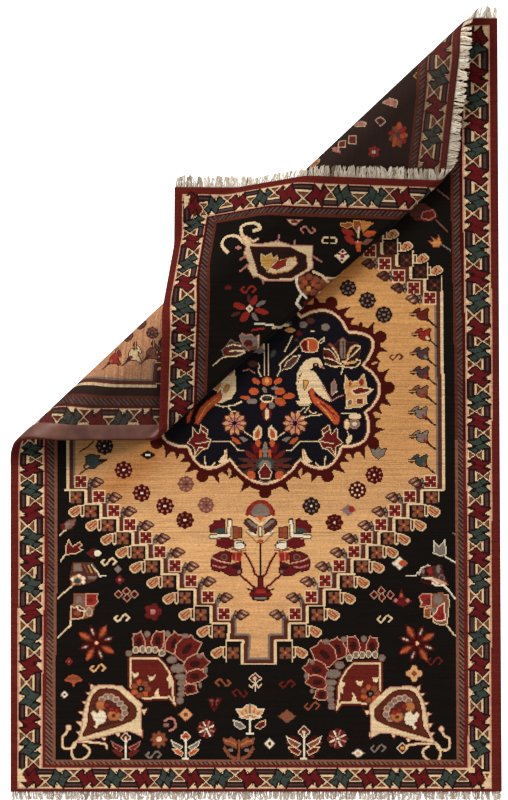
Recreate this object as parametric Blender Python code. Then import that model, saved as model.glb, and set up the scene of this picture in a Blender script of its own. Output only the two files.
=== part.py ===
# Qashqai pile rug, lying pile up with its top left corner turned back in a loose Z fold.
# Units are metres, +Z is up, and the rug's length runs along Y.
# The origin is on the floor at the middle of the whole outline.

import math
import random

import bmesh
import bpy
import numpy as np

# Driving sizes of the flat rug
RUG_WIDTH = 1.215
RUG_LENGTH = 1.913
RUG_THICKNESS = 0.008
TOP_NARROWING = 0.011

# The two folds: a loose outer roll, and a tight inner turn that brings the pile up again
FOLD_ANGLE = math.radians(43.2)
FOLD_OUTER_LINE = 0.3378
ROLL_RADIUS_LEFT = 0.0441
ROLL_RADIUS_RIGHT = 0.0373
TURN_RADIUS = 0.016
FOLD_WIDTH_LEFT = 0.234
FOLD_WIDTH_RIGHT = 0.251
FOLD_START = -0.21
FOLD_RUN = 0.93
ROLL_EASES_BY = 0.6
TIP_SLIDE = 0.020
TURN_ABOVE_BASE = 0.0015
TIP_ABOVE_ROLL = 0.0067
TIP_DROP_ANGLE = math.radians(40.5)
TIP_FOOT_RADIUS = 0.030

# Fringes: warp ends that leave a narrow woven end
FRINGE_LENGTH = 0.030
FRINGE_STRANDS = 110
FRINGE_STRIP_WIDTH = 0.005
FRINGE_THICKNESS = 0.0024
STRAND_SHARE = 0.52
PIECE_GAP = 0.0005

# Leather strip sewn on the back, beside the left selvedge
STRIP_WIDTH = 0.038
STRIP_THICKNESS = 0.002
STRIP_INSET = 0.003
STRIP_START = -0.110
STRIP_END = 0.450

# How far apart the cuts across the folds lie: distance past the roll's start, and step
FOLD_CUTS = [
    {"past_start": -0.030, "step": 0.030},
    {"past_start": 0.000, "step": 0.0105},
    {"past_start": 0.160, "step": 0.032},
    {"past_start": 0.300, "step": 0.0058},
    {"past_start": 0.405, "step": 0.030},
    {"past_start": 0.555, "step": 0.0150},
    {"past_start": 0.760, "step": 0.060},
    {"past_start": 1.100, "step": 0.150},
]
FOLD_CUT_END = 1.30
CROSS_CUT_STEP = 0.125


def clear_scene():
    for obj in list(bpy.data.objects):
        bpy.data.objects.remove(obj)


def make_material(name, colour, roughness):
    material = bpy.data.materials.new(name)
    material.use_nodes = True
    shader = material.node_tree.nodes["Principled BSDF"]
    shader.inputs["Base Color"].default_value = (*colour, 1.0)
    shader.inputs["Roughness"].default_value = roughness
    shader.inputs["Metallic"].default_value = 0.0
    return material


def fold_profile(past, roll, width):
    """Height, reach and slope of the folded middle surface, for a distance past the roll's start.

    past, roll and width are arrays: the distance, the roll's radius and the width of the fold.
    The section is floor, roll, slant, tight turn, slant, hump over the roll, drop, foot, floor.
    """
    half = RUG_THICKNESS / 2
    turn = TURN_RADIUS
    roll_height = half + roll
    turn_reach = roll + half - width + turn + half
    turn_height = half + RUG_THICKNESS + TURN_ABOVE_BASE + turn
    fall = roll_height - turn_height
    centres = np.hypot(turn_reach, fall)
    tilt = np.arctan2(fall, -turn_reach)
    slant = np.arcsin((roll + turn) / centres) + tilt
    slant_run = np.sqrt(centres ** 2 - (roll + turn) ** 2)
    hump = roll + RUG_THICKNESS + TIP_ABOVE_ROLL
    rise = np.arcsin((hump - turn) / centres) + tilt
    rise_run = np.sqrt(centres ** 2 - (hump - turn) ** 2)
    foot = TIP_FOOT_RADIUS
    drop = TIP_DROP_ANGLE
    drop_height = roll_height + hump * math.cos(drop) - half - foot * (1 - math.cos(drop))
    drop_run = drop_height / math.sin(drop)
    back = math.pi + slant

    end_roll = back * roll
    end_slant = end_roll + slant_run
    end_turn = end_slant + (back - rise) * turn
    end_rise = end_turn + rise_run
    end_hump = end_rise + (rise + drop) * hump
    end_drop = end_hump + drop_run
    end_foot = end_drop + drop * foot

    on_roll = past / roll
    on_slant = past - end_roll
    on_turn = back - (past - end_slant) / turn
    on_rise = past - end_turn
    on_hump = rise - (past - end_rise) / hump
    on_drop = past - end_hump
    on_foot = (past - end_drop) / foot - drop
    drop_reach = hump * math.sin(drop)
    foot_reach = drop_reach + drop_run * math.cos(drop)

    stretches = [past < 0, past < end_roll, past < end_slant, past < end_turn, past < end_rise,
                 past < end_hump, past < end_drop, past < end_foot]
    reach = np.select(stretches, [
        past,
        roll * np.sin(on_roll),
        roll * np.sin(back) + on_slant * np.cos(back),
        turn_reach - turn * np.sin(on_turn),
        turn_reach - turn * np.sin(rise) + on_rise * np.cos(rise),
        -hump * np.sin(on_hump),
        drop_reach + on_drop * math.cos(drop),
        foot_reach + foot * (math.sin(drop) + np.sin(on_foot)),
    ], foot_reach + foot * math.sin(drop) + past - end_foot)
    height = np.select(stretches, [
        half + 0 * past,
        roll_height - roll * np.cos(on_roll),
        roll_height - roll * np.cos(back) + on_slant * np.sin(back),
        turn_height + turn * np.cos(on_turn),
        turn_height + turn * np.cos(rise) + on_rise * np.sin(rise),
        roll_height + hump * np.cos(on_hump),
        roll_height + hump * math.cos(drop) - on_drop * math.sin(drop),
        half + foot * (1 - np.cos(on_foot)),
    ], half + 0 * past)
    slope = np.select(stretches, [
        0 * past, on_roll, back + 0 * past, on_turn, rise + 0 * past, on_hump, -drop + 0 * past, on_foot,
    ], 0 * past)
    return reach, height, slope, (end_slant + end_turn) / 2


def place(across, along, offset):
    """Where a point of the flat rug lies once it is folded, as an array of X, Y, Z.

    across and along are flat coordinates from the rug's middle, and offset is the distance
    from the middle of its thickness towards the pile.
    """
    across = np.asarray(across, float)
    along = np.asarray(along, float)
    offset = np.asarray(offset, float)
    across = across - TOP_NARROWING * (across / RUG_WIDTH + 0.5) * (along / RUG_LENGTH + 0.5)
    cos_fold = math.cos(FOLD_ANGLE)
    sin_fold = math.sin(FOLD_ANGLE)
    towards = cos_fold * along - sin_fold * across
    beside = cos_fold * across + sin_fold * along
    share = np.clip((beside - FOLD_START) / FOLD_RUN, 0, 1)
    ease = np.clip(share / ROLL_EASES_BY, 0, 1)
    roll = ROLL_RADIUS_LEFT + (ROLL_RADIUS_RIGHT - ROLL_RADIUS_LEFT) * ease
    width = FOLD_WIDTH_LEFT + (FOLD_WIDTH_RIGHT - FOLD_WIDTH_LEFT) * share
    start = FOLD_OUTER_LINE - roll - RUG_THICKNESS / 2
    past = towards - start
    reach, height, slope, mid_turn = fold_profile(past, roll, width)
    reach = start + reach - offset * np.sin(slope)
    height = height + offset * np.cos(slope)
    beside = beside + TIP_SLIDE * np.clip(past - mid_turn, 0, None)
    x = cos_fold * beside - sin_fold * reach
    y = sin_fold * beside + cos_fold * reach
    return np.stack([x, y, height], axis=-1)


def fold_cut_lines():
    lines = []
    ends = [row["past_start"] for row in FOLD_CUTS[1:]] + [FOLD_CUT_END]
    for row, end in zip(FOLD_CUTS, ends):
        count = max(1, round((end - row["past_start"]) / row["step"]))
        lines += [row["past_start"] + (end - row["past_start"]) * i / count for i in range(count)]
    roll_start = FOLD_OUTER_LINE - ROLL_RADIUS_LEFT - RUG_THICKNESS / 2
    return [roll_start + line for line in lines]


def folded_slab(name, outline, low, high, material):
    """A flat outline cut along the folds, then folded: offsets low and high are its two faces."""
    bm = bmesh.new()
    bm.faces.new([bm.verts.new((x, y, 0)) for x, y in outline])
    across_fold = (-math.sin(FOLD_ANGLE), math.cos(FOLD_ANGLE), 0)
    along_fold = (math.cos(FOLD_ANGLE), math.sin(FOLD_ANGLE), 0)
    cuts = [(across_fold, line) for line in fold_cut_lines()]
    count = round(2.4 / CROSS_CUT_STEP)
    cuts += [(along_fold, -1.2 + CROSS_CUT_STEP * i) for i in range(count + 1)]
    for normal, distance in cuts:
        point = [distance * part for part in normal]
        geometry = bm.verts[:] + bm.edges[:] + bm.faces[:]
        bmesh.ops.bisect_plane(bm, geom=geometry, dist=1e-6, plane_co=point, plane_no=normal)
    bm.verts.index_update()
    flat = np.array([vert.co[:2] for vert in bm.verts])
    faces = [[vert.index for vert in face.verts] for face in bm.faces]
    rims = []
    for face in bm.faces:
        for loop in face.loops:
            if loop.edge.is_boundary:
                rims.append((loop.vert.index, loop.link_loop_next.vert.index))
    upward = bm.faces[:][0].normal.z > 0
    bm.free()
    if not upward:
        faces = [face[::-1] for face in faces]
        rims = [(b, a) for a, b in rims]
    total = len(flat)
    top = place(flat[:, 0], flat[:, 1], high)
    bottom = place(flat[:, 0], flat[:, 1], low)
    points = np.concatenate([top, bottom])
    shell = list(faces)
    shell += [[index + total for index in face[::-1]] for face in faces]
    shell += [[b, a, a + total, b + total] for a, b in rims]
    return add_object(name, points, shell, material)


def add_object(name, points, faces, material):
    mesh = bpy.data.meshes.new(name)
    mesh.from_pydata([tuple(point) for point in points], [], faces)
    mesh.materials.append(material)
    mesh.shade_smooth()
    mesh.set_sharp_from_angle(angle=math.radians(40))
    obj = bpy.data.objects.new(name, mesh)
    bpy.context.scene.collection.objects.link(obj)
    return obj


def make_fringe(name, end, steps, seed, material):
    """A comb along one end of the rug: a narrow strip and the strands that leave it.

    end is 1 at the top and -1 at the bottom, and steps is the number of lengths in a strand.
    """
    rng = random.Random(seed)
    inner = RUG_LENGTH / 2 + PIECE_GAP
    outer = inner + FRINGE_STRIP_WIDTH
    pitch = RUG_WIDTH / FRINGE_STRANDS
    low = -RUG_THICKNESS / 2
    high = low + FRINGE_THICKNESS
    flat = []
    rows = {"inner": [], "outer": []}
    for i in range(FRINGE_STRANDS):
        left = -RUG_WIDTH / 2 + pitch * i
        for x in (left, left + pitch * STRAND_SHARE):
            for row, y in (("inner", inner), ("outer", outer)):
                rows[row].append(len(flat))
                flat.append((x, y))
    for row, y in (("inner", inner), ("outer", outer)):
        rows[row].append(len(flat))
        flat.append((RUG_WIDTH / 2, y))

    faces = []
    rims = []
    last = len(rows["inner"]) - 1
    for i in range(last):
        a, b = rows["inner"][i], rows["inner"][i + 1]
        c, d = rows["outer"][i + 1], rows["outer"][i]
        faces.append([a, b, c, d])
        rims.append((a, b))
        if i % 2:
            rims.append((c, d))
            continue
        reach = FRINGE_LENGTH - FRINGE_STRIP_WIDTH - PIECE_GAP
        reach *= rng.uniform(0.82, 1.0) if 0 < i < last - 2 else 1.0
        lean = rng.uniform(-0.12, 0.12) * reach
        near = (d, c)
        for step in range(1, steps + 1):
            part = step / steps
            pinch = pitch * STRAND_SHARE * 0.18 * part
            far = (len(flat), len(flat) + 1)
            flat.append((flat[d][0] + pinch + lean * part, outer + reach * part))
            flat.append((flat[c][0] - pinch + lean * part, outer + reach * part))
            faces.append([near[0], near[1], far[1], far[0]])
            rims.append((near[1], far[1]))
            rims.append((far[0], near[0]))
            near = far
        rims.append((near[1], near[0]))
    rims.append((rows["outer"][0], rows["inner"][0]))
    rims.append((rows["inner"][last], rows["outer"][last]))

    flat = np.array(flat)
    half = RUG_WIDTH / 2
    across = np.clip(flat[:, 0], -half, half)
    top = place(across, end * flat[:, 1], high)
    bottom = place(across, end * flat[:, 1], low)
    total = len(flat)
    if end < 0:
        faces = [face[::-1] for face in faces]
        rims = [(b, a) for a, b in rims]
    shell = list(faces)
    shell += [[index + total for index in face[::-1]] for face in faces]
    shell += [[b, a, a + total, b + total] for a, b in rims]
    return add_object(name, np.concatenate([top, bottom]), shell, material)


def rectangle(left, right, bottom, top):
    return [(left, bottom), (right, bottom), (right, top), (left, top)]


def main():
    clear_scene()
    pile = make_material("rug_wool", (0.10, 0.045, 0.03), 0.95)
    top_yarn = make_material("top_warp_yarn", (0.62, 0.54, 0.43), 0.95)
    bottom_yarn = make_material("bottom_warp_yarn", (0.60, 0.52, 0.42), 0.95)
    leather = make_material("strip_leather", (0.12, 0.04, 0.03), 0.6)

    half_width = RUG_WIDTH / 2
    half_length = RUG_LENGTH / 2
    half_thick = RUG_THICKNESS / 2
    outline = rectangle(-half_width, half_width, -half_length, half_length)
    folded_slab("rug", outline, -half_thick, half_thick, pile)

    strip_left = -half_width + STRIP_INSET
    strip = rectangle(strip_left, strip_left + STRIP_WIDTH, STRIP_START, STRIP_END)
    strip_high = -half_thick - PIECE_GAP
    folded_slab("side_strip", strip, strip_high - STRIP_THICKNESS, strip_high, leather)

    make_fringe("fringe_top", 1, 2, 11, top_yarn)
    make_fringe("fringe_bottom", -1, 1, 12, bottom_yarn)


main()
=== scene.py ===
import math

import bpy
import numpy as np
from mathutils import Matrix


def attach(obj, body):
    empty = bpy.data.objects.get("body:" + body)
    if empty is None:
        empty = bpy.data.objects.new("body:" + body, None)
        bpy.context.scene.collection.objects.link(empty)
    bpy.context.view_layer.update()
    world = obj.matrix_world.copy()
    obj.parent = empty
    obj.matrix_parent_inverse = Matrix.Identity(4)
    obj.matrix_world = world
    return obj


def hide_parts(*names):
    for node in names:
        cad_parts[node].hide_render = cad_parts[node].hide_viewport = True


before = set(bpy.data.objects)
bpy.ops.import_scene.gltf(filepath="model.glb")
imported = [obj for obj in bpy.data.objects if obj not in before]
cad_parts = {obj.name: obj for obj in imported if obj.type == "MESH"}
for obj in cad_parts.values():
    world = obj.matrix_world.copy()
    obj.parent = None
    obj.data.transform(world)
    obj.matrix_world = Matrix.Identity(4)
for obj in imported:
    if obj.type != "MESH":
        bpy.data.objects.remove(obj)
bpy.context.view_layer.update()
print("frame loaded")

# The flat rug, its folds and its fringes, in metres and degrees: the same sizes as the CAD
rugForm = {
    "width": 1.215,
    "length": 1.913,
    "thickness": 0.008,
    "topNarrowing": 0.011,
    "foldAngle": 43.2,
    "outerLine": 0.3378,
    "rollRadiusLeft": 0.0441,
    "rollRadiusRight": 0.0373,
    "turnRadius": 0.016,
    "foldWidthLeft": 0.234,
    "foldWidthRight": 0.251,
    "foldStart": -0.21,
    "foldRun": 0.93,
    "rollEasesBy": 0.6,
    "tipSlide": 0.020,
    "turnAboveBase": 0.0015,
    "tipAboveRoll": 0.0067,
    "dropAngle": 40.5,
    "footRadius": 0.030,
}


# Reach, height and slope of the middle surface: floor, roll, slant, turn, slant, hump, drop, foot.
def foldProfile(past, roll, width):
    half = rugForm["thickness"] / 2
    turn = rugForm["turnRadius"]
    rollHeight = half + roll
    turnReach = roll + half - width + turn + half
    turnHeight = half * 3 + rugForm["turnAboveBase"] + turn
    fall = rollHeight - turnHeight
    centres = np.hypot(turnReach, fall)
    tilt = np.arctan2(fall, -turnReach)
    slant = np.arcsin((roll + turn) / centres) + tilt
    slantRun = np.sqrt(centres ** 2 - (roll + turn) ** 2)
    hump = roll + half * 2 + rugForm["tipAboveRoll"]
    rise = np.arcsin((hump - turn) / centres) + tilt
    riseRun = np.sqrt(centres ** 2 - (hump - turn) ** 2)
    foot = rugForm["footRadius"]
    drop = math.radians(rugForm["dropAngle"])
    dropHeight = rollHeight + hump * math.cos(drop) - half - foot * (1 - math.cos(drop))
    dropRun = dropHeight / math.sin(drop)
    back = math.pi + slant
    endRoll = back * roll
    endSlant = endRoll + slantRun
    endTurn = endSlant + (back - rise) * turn
    endRise = endTurn + riseRun
    endHump = endRise + (rise + drop) * hump
    endDrop = endHump + dropRun
    endFoot = endDrop + drop * foot
    onRoll = past / roll
    onSlant = past - endRoll
    onTurn = back - (past - endSlant) / turn
    onRise = past - endTurn
    onHump = rise - (past - endRise) / hump
    onDrop = past - endHump
    onFoot = (past - endDrop) / foot - drop
    dropReach = hump * math.sin(drop)
    footReach = dropReach + dropRun * math.cos(drop)
    flat = 0 * past
    stretches = [past < 0, past < endRoll, past < endSlant, past < endTurn, past < endRise,
                 past < endHump, past < endDrop, past < endFoot]
    reach = np.select(stretches, [
        past,
        roll * np.sin(onRoll),
        roll * np.sin(back) + onSlant * np.cos(back),
        turnReach - turn * np.sin(onTurn),
        turnReach - turn * np.sin(rise) + onRise * np.cos(rise),
        -hump * np.sin(onHump),
        dropReach + onDrop * math.cos(drop),
        footReach + foot * (math.sin(drop) + np.sin(onFoot)),
    ], footReach + foot * math.sin(drop) + past - endFoot)
    height = np.select(stretches, [
        half + flat,
        rollHeight - roll * np.cos(onRoll),
        rollHeight - roll * np.cos(back) + onSlant * np.sin(back),
        turnHeight + turn * np.cos(onTurn),
        turnHeight + turn * np.cos(rise) + onRise * np.sin(rise),
        rollHeight + hump * np.cos(onHump),
        rollHeight + hump * math.cos(drop) - onDrop * math.sin(drop),
        half + foot * (1 - np.cos(onFoot)),
    ], half + flat)
    slope = np.select(stretches, [flat, onRoll, back + flat, onTurn, rise + flat, onHump,
                                  flat - drop, onFoot], flat)
    return reach, height, slope, (endSlant + endTurn) / 2


# Where points of the flat rug lie once folded: turned to the fold's own axes, led along the
# profile and turned back. offset is the way from mid thickness to the pile.
def place(across, along, offset):
    form = rugForm
    across = across - form["topNarrowing"] * (across / form["width"] + 0.5) * (along / form["length"] + 0.5)
    cosFold = math.cos(math.radians(form["foldAngle"]))
    sinFold = math.sin(math.radians(form["foldAngle"]))
    towards = cosFold * along - sinFold * across
    beside = cosFold * across + sinFold * along
    share = np.clip((beside - form["foldStart"]) / form["foldRun"], 0, 1)
    ease = np.clip(share / form["rollEasesBy"], 0, 1)
    roll = form["rollRadiusLeft"] + (form["rollRadiusRight"] - form["rollRadiusLeft"]) * ease
    width = form["foldWidthLeft"] + (form["foldWidthRight"] - form["foldWidthLeft"]) * share
    start = form["outerLine"] - roll - form["thickness"] / 2
    past = towards - start
    reach, height, slope, midTurn = foldProfile(past, roll, width)
    reach = start + reach - offset * np.sin(slope)
    height = height + offset * np.cos(slope)
    beside = beside + form["tipSlide"] * np.clip(past - midTurn, 0, None)
    return np.stack([cosFold * beside - sinFold * reach, sinFold * beside + cosFold * reach, height], axis=-1)


# Yarn colours, as seen in daylight: one letter each, used all through the chart
yarns = {
    "k": "#15100d",  # black
    "n": "#121015",  # blue black
    "t": "#c9975a",  # golden ground
    "c": "#dfc093",  # cream
    "r": "#611719",  # dark red
    "R": "#93281f",  # red
    "o": "#b9512a",  # orange
    "u": "#8a482e",  # rust
    "b": "#4e2a22",  # brown
    "g": "#39423a",  # green
    "s": "#7d6d61",  # grey
    "w": "#e6d5b8",  # ivory
    "y": "#cc9648",  # yellow
    "p": "#b57264",  # pink
    "d": "#2d1814",  # dark outline
    "e": "#631f18",  # selvedge red
    "m": "#7b4c3c",  # tan
    "l": "#cf9a7c",  # salmon
    "a": "#7f5847",  # dusty brown
    "h": "#754530",  # box brown
    "v": "#5c281a",  # red brown
    "x": "#4b3533",  # slate
    "f": "#470e09",  # deep red
    "i": "#7f4e3a",  # guard line
    "j": "#5d453d",  # upper guard
    "q": "#b46c3c",  # apricot
    "z": "#6b4c41",  # middle guard
}

# The knot chart: a place on it is given in knots, with the cloth's top left corner at (11, 19)
chartForm = {
    "columns": 490,
    "rows": 772,
    "left": 11,
    "top": 19,
    "narrowing": 0.00905,
    "seed": 5,
}
columns = chartForm["columns"]
rows = chartForm["rows"]
chart = np.full((rows, columns), ord("k"), np.uint8)
sideX = np.arange(columns) + 0.5
downY = np.arange(rows) + 0.5
gridY = np.repeat((downY + chartForm["top"])[:, None], columns, axis=1)
lean = chartForm["narrowing"] * (rows + chartForm["top"] - gridY) / rows
gridX = chartForm["left"] + sideX[None, :] * (1 - lean)


# The slices of the chart that hold everything between two corners.
def window(low, high, margin):
    top = max(0, int(low[1] - chartForm["top"] - margin))
    bottom = max(0, int(high[1] - chartForm["top"] + margin) + 1)
    left = max(0, int(low[0] - chartForm["left"] - margin))
    right = max(0, int(high[0] - chartForm["left"] + margin + 5) + 1)
    return slice(top, bottom), slice(left, right)


# The points as an array, and their lowest and highest corners.
def spread(points):
    points = np.asarray(points, float)
    return points, points.min(axis=0), points.max(axis=0)


# True where a place lies inside the closed line: the count of edges to its right is odd.
def insideOf(points, x, y):
    inside = np.zeros(x.shape, bool)
    for (x0, y0), (x1, y1) in zip(points, np.roll(points, -1, axis=0)):
        if y0 == y1:
            continue
        crosses = (y0 > y) != (y1 > y)
        inside ^= crosses & (x < (x1 - x0) * (y - y0) / (y1 - y0) + x0)
    return inside


# The mask less its outer knots, all round.
def shrink(mask, times=1):
    for _ in range(times):
        grown = np.pad(mask, 1)
        mask = mask & grown[:-2, 1:-1] & grown[2:, 1:-1] & grown[1:-1, :-2] & grown[1:-1, 2:]
    return mask


# The mask less its outer knots, corners kept square.
def shrinkSquare(mask):
    wide = np.pad(mask, 1)
    high = wide[:-2] & wide[1:-1] & wide[2:]
    return high[:, :-2] & high[:, 1:-1] & high[:, 2:]


# The mask and the knots that touch it on four sides.
def grow(mask, times=1):
    for _ in range(times):
        wide = np.pad(mask, 1)
        mask = mask | wide[:-2, 1:-1] | wide[2:, 1:-1] | wide[1:-1, :-2] | wide[1:-1, 2:]
    return mask


# Knots the mask in one colour, and its outermost knots in the edge colour if there is one.
def put(area, mask, colour, edge=""):
    part = chart[area]
    part[mask] = ord(colour)
    if edge:
        part[mask & ~shrink(mask)] = ord(edge)


# Knots everything inside a closed line.
def fill(points, colour, edge=""):
    points, low, high = spread(points)
    area = window(low, high, 3)
    put(area, insideOf(points, gridX[area], gridY[area]), colour, edge)


# A line of knots: every knot nearer to the line than half its width.
def stroke(points, width, colour):
    points, low, high = spread(points)
    area = window(low, high, 4)
    x = gridX[area]
    y = gridY[area]
    mask = np.zeros(x.shape, bool)
    for (x0, y0), (x1, y1) in zip(points[:-1], points[1:]):
        length = max((x1 - x0) ** 2 + (y1 - y0) ** 2, 1e-6)
        along = np.clip(((x - x0) * (x1 - x0) + (y - y0) * (y1 - y0)) / length, 0, 1)
        mask |= np.hypot(x - x0 - along * (x1 - x0), y - y0 - along * (y1 - y0)) <= width / 2
    put(area, mask, colour)


# A soft line through the points: each stretch is a cubic with slopes from its neighbours.
def smooth(points, steps=6, closed=False):
    points = np.asarray(points, float)
    if closed:
        knots = np.concatenate([points[-1:], points, points[:2]])
    else:
        knots = np.concatenate([points[:1], points, points[-1:]])
    t = np.linspace(0, 1, steps, endpoint=False)[:, None]
    line = []
    for a, b, c, d in zip(knots[:-3], knots[1:-2], knots[2:-1], knots[3:]):
        line.append(0.5 * (2 * b + (c - a) * t + (2 * a - 5 * b + 4 * c - d) * t ** 2
                           + (3 * b - a - 3 * c + d) * t ** 3))
    if not closed:
        line.append(points[-1:])
    return np.concatenate(line)


# Every knot where (across / halfWidth)^2 + (down / halfHeight)^2 is 1 at most, turned in degrees.
def oval(x, y, halfWidth, halfHeight, colour, edge="", turn=0):
    reach = max(halfWidth, halfHeight)
    area = window((x - reach, y - reach), (x + reach, y + reach), 3)
    cosTurn = math.cos(math.radians(turn))
    sinTurn = math.sin(math.radians(turn))
    across = ((gridX[area] - x) * cosTurn + (gridY[area] - y) * sinTurn) / halfWidth
    down = ((gridY[area] - y) * cosTurn - (gridX[area] - x) * sinTurn) / halfHeight
    put(area, across ** 2 + down ** 2 <= 1, colour, edge)


# A round flower: its edge is radius x (waist + (1 - waist) x |cos(petals x angle / 2)|).
def bloom(x, y, radius, petals, colour, edge="", heart="", waist=0.72):
    area = window((x - radius, y - radius), (x + radius, y + radius), 3)
    down = gridY[area] - y
    across = gridX[area] - x
    angle = np.arctan2(down, across)
    reach = radius * (waist + (1 - waist) * np.abs(np.cos(petals * angle / 2)))
    put(area, np.hypot(across, down) <= reach, colour, edge)
    if heart:
        oval(x, y, max(radius * 0.3, 1), max(radius * 0.3, 1), heart)


# Knots a small chart, one letter a knot, with its middle at x, y; a dot leaves what is there.
def stamp(x, y, motif, mirrored=False):
    motif = [line[::-1] if mirrored else line for line in motif]
    height = len(motif)
    row = int(round(y - chartForm["top"] - height / 2))
    narrowed = 1 - lean[min(max(row, 0), rows - 1), 0]
    width = max(len(line) for line in motif)
    column = int(round((x - chartForm["left"]) / narrowed - width / 2))
    for i, line in enumerate(motif):
        for j, letter in enumerate(line):
            if letter != "." and 0 <= row + i < rows and 0 <= column + j < columns:
                chart[row + i, column + j] = ord(letter)


# The points reflected left to right about the axis.
def mirror(points, axis):
    return [(2 * axis - x, y) for x, y in points]


# Draws shapes whose points go through the given function: (points, colour, edge) is filled,
# (points, width, colour) is a line, and ([point], half width, half height, colour, edge) an oval.
def draw(shapes, way):
    for points, *look in shapes:
        points = way(points)
        if len(points) == 1:
            oval(*points[0], *look)
        elif isinstance(look[0], str):
            fill(points, *look)
        else:
            stroke(points, *look)


# The stepped field: its steps as (x of the upright, y of the tread above it), and how far out and how
# far down from each step its box, its hooked flower, its red cross and its leaf bud stand
fieldForm = {
    "right": 444.6,
    "upperStart": 442.5,
    "left": 67,
    "lowerRight": [(423, 490), (409, 504.4), (395, 518.3), (379.5, 532.3), (367.8, 545.4), (353.4, 559.5),
                   (339, 574), (325, 589.5), (308.8, 605.6), (290.6, 623), (277, 640)],
    "lowerLeft": [(85, 490), (99.6, 504.4), (116.2, 518.3), (131.3, 532.3), (146.1, 545.4), (160.3, 559.5),
                  (176.7, 574), (193.5, 589.5), (209.3, 605.6), (227.1, 623), (241.1, 640)],
    "lowerTip": 664.3,
    "upperRight": [(426, 291.3), (411.8, 279.2), (397.6, 266.5), (382.3, 254.5), (367.5, 242.2), (352.7, 230),
                   (337.9, 217.7), (323.1, 205.4), (308.3, 193.1), (293.5, 180.8), (278.7, 166)],
    "upperLeft": [(86, 291.3), (100, 279.2), (114, 266.5), (128, 254.5), (143, 242.2), (158, 230),
                  (173, 217.7), (188, 205.4), (203, 193.1), (218, 180.8), (236, 166)],
    "upperTip": 146,
    "rings": [(0, "v"), (3, "x"), (1, "s"), (2, "t")],
    "boxHalf": 6.6,
    "lower": {"box": 8.4, "hook": (14, 0), "cross": (14.3, -1), "bud": (29.4, 0), "budShift": 0.3,
              "crosses": 9, "firstTread": 20, "firstCross": (14.3, 481.5), "firstBud": (28.8, 482.5)},
    "upper": {"box": 8.2, "hook": (14.4, -1.5), "cross": (13.4, 3.6), "bud": (28, 3.6), "budShift": 0,
              "crosses": 11, "firstTread": 15.6, "firstCross": (16, 298.6), "firstBud": (31, 299.7)},
}

# Small charts, one letter a knot: what stands beside the field's steps, below and above its middle
redCross = [
    "ccccccccccccc",
    "crrRrrcrrRrrc",
    "crRrRrcrRrRrc",
    "crrrRrcrRrrrc",
    "crRRrrrrrRRrc",
    "crrrrrrrrrrrc",
    "cclcrrrrrclcc",
    "crrrrrrrrrrrc",
    "crRRrrrrrRRrc",
    "crrrRrcrRrrrc",
    "crRrRrcrRrRrc",
    "crrRrrcrrRrrc",
    "ccccccccccccc",
]
rustBox = [
    "ddddddddddddd",
    "dhhahddhahhhd",
    "dhauhddhhuahd",
    "dauuhddhhuuad",
    "dhhuuhhhuuhhd",
    "ddhhuuouuhhdd",
    "ddddhoyohdddd",
    "ddhhuuouuhhdd",
    "dhhuuhhhuuhhd",
    "dauuhddhhuuad",
    "dhauhddhhuahd",
    "dhhahddhahhhd",
    "ddddddddddddd",
]
rustBoxUpper = [line.translate(str.maketrans("hauoy", "dvbuu")) for line in rustBox]
hookFlower = [
    "ccccccc.........",
    "cbbccqqccc......",
    "cbbcqqvqqqcc....",
    "cbbcqlqqvlqqcc..",
    "cbbcqvqlqvqlqqc.",
    "cbbcqqvqlqvqlqqc",
    "cbbcqlqvqlqvqqqc",
    "cbbccqlqvqlqvqlc",
    "cbbc.cqqlqvqqqcc",
    "cbbc..cqqlqvqcc.",
    "cccc...ccqqlcc..",
    ".cc......cccc...",
]
hookFlowerUpper = [
    ".........cccc...",
    "cccc...cclqqcc..",
    "cbbc..cqvqlqqcc.",
    "cbbc.cqqqvqlqqcc",
    "cbbccqlqqvqqlqqc",
    "cbbcqlqqvqlqvqqc",
    "cbbcqqlqvqlqvqc.",
    "cbbcqqvqlqvqcc..",
    "cbbccqqvqqcc....",
    "ccccccccc.......",
]
leafBud = [
    "......dddd.......",
    "....ddaamdd..dd..",
    "..ddaalmmddddsd..",
    ".daallmmddbbdssd.",
    "daalmmmddabbdssd.",
    "dammmddaaambbddsd",
    ".ddddaallmmbbdddd",
    "...daallmmmbbdssd",
    "....ddmmmmbbddssd",
    "......dbbbbd.dsd.",
    ".......dddd...d..",
]
leafBudUpper = [line.translate(str.maketrans("lma", "abb")) for line in leafBud]


# Down one side of the stepped field: tread, upright, tread, to the tip.
def stepLine(steps, tip, start):
    line = [(start, steps[0][1])]
    for (x, y), (_, nextY) in zip(steps, steps[1:] + [(0, tip)]):
        line += [(x, y), (x, nextY)]
    return line


# The field's ground, cream at its edge, then a brown line, slate, grey and gold inside.
def paintField():
    form = fieldForm
    right = stepLine(form["upperRight"], form["upperTip"], form["upperStart"])[::-1]
    right += stepLine(form["lowerRight"], form["lowerTip"], form["right"])
    leftSide = stepLine(form["upperLeft"], form["upperTip"], form["left"])[::-1]
    leftSide += stepLine(form["lowerLeft"], form["lowerTip"], form["left"])
    mask = insideOf(right + leftSide[::-1], gridX, gridY)
    chart[mask] = ord("c")
    narrow = shrink(mask, 1)
    for _ in range(2):
        narrow = narrow & np.roll(narrow, 1, axis=1) & np.roll(narrow, -1, axis=1)
    for times, letter in form["rings"]:
        for _ in range(times):
            narrow = shrinkSquare(narrow)
        chart[narrow] = ord(letter)


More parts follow.
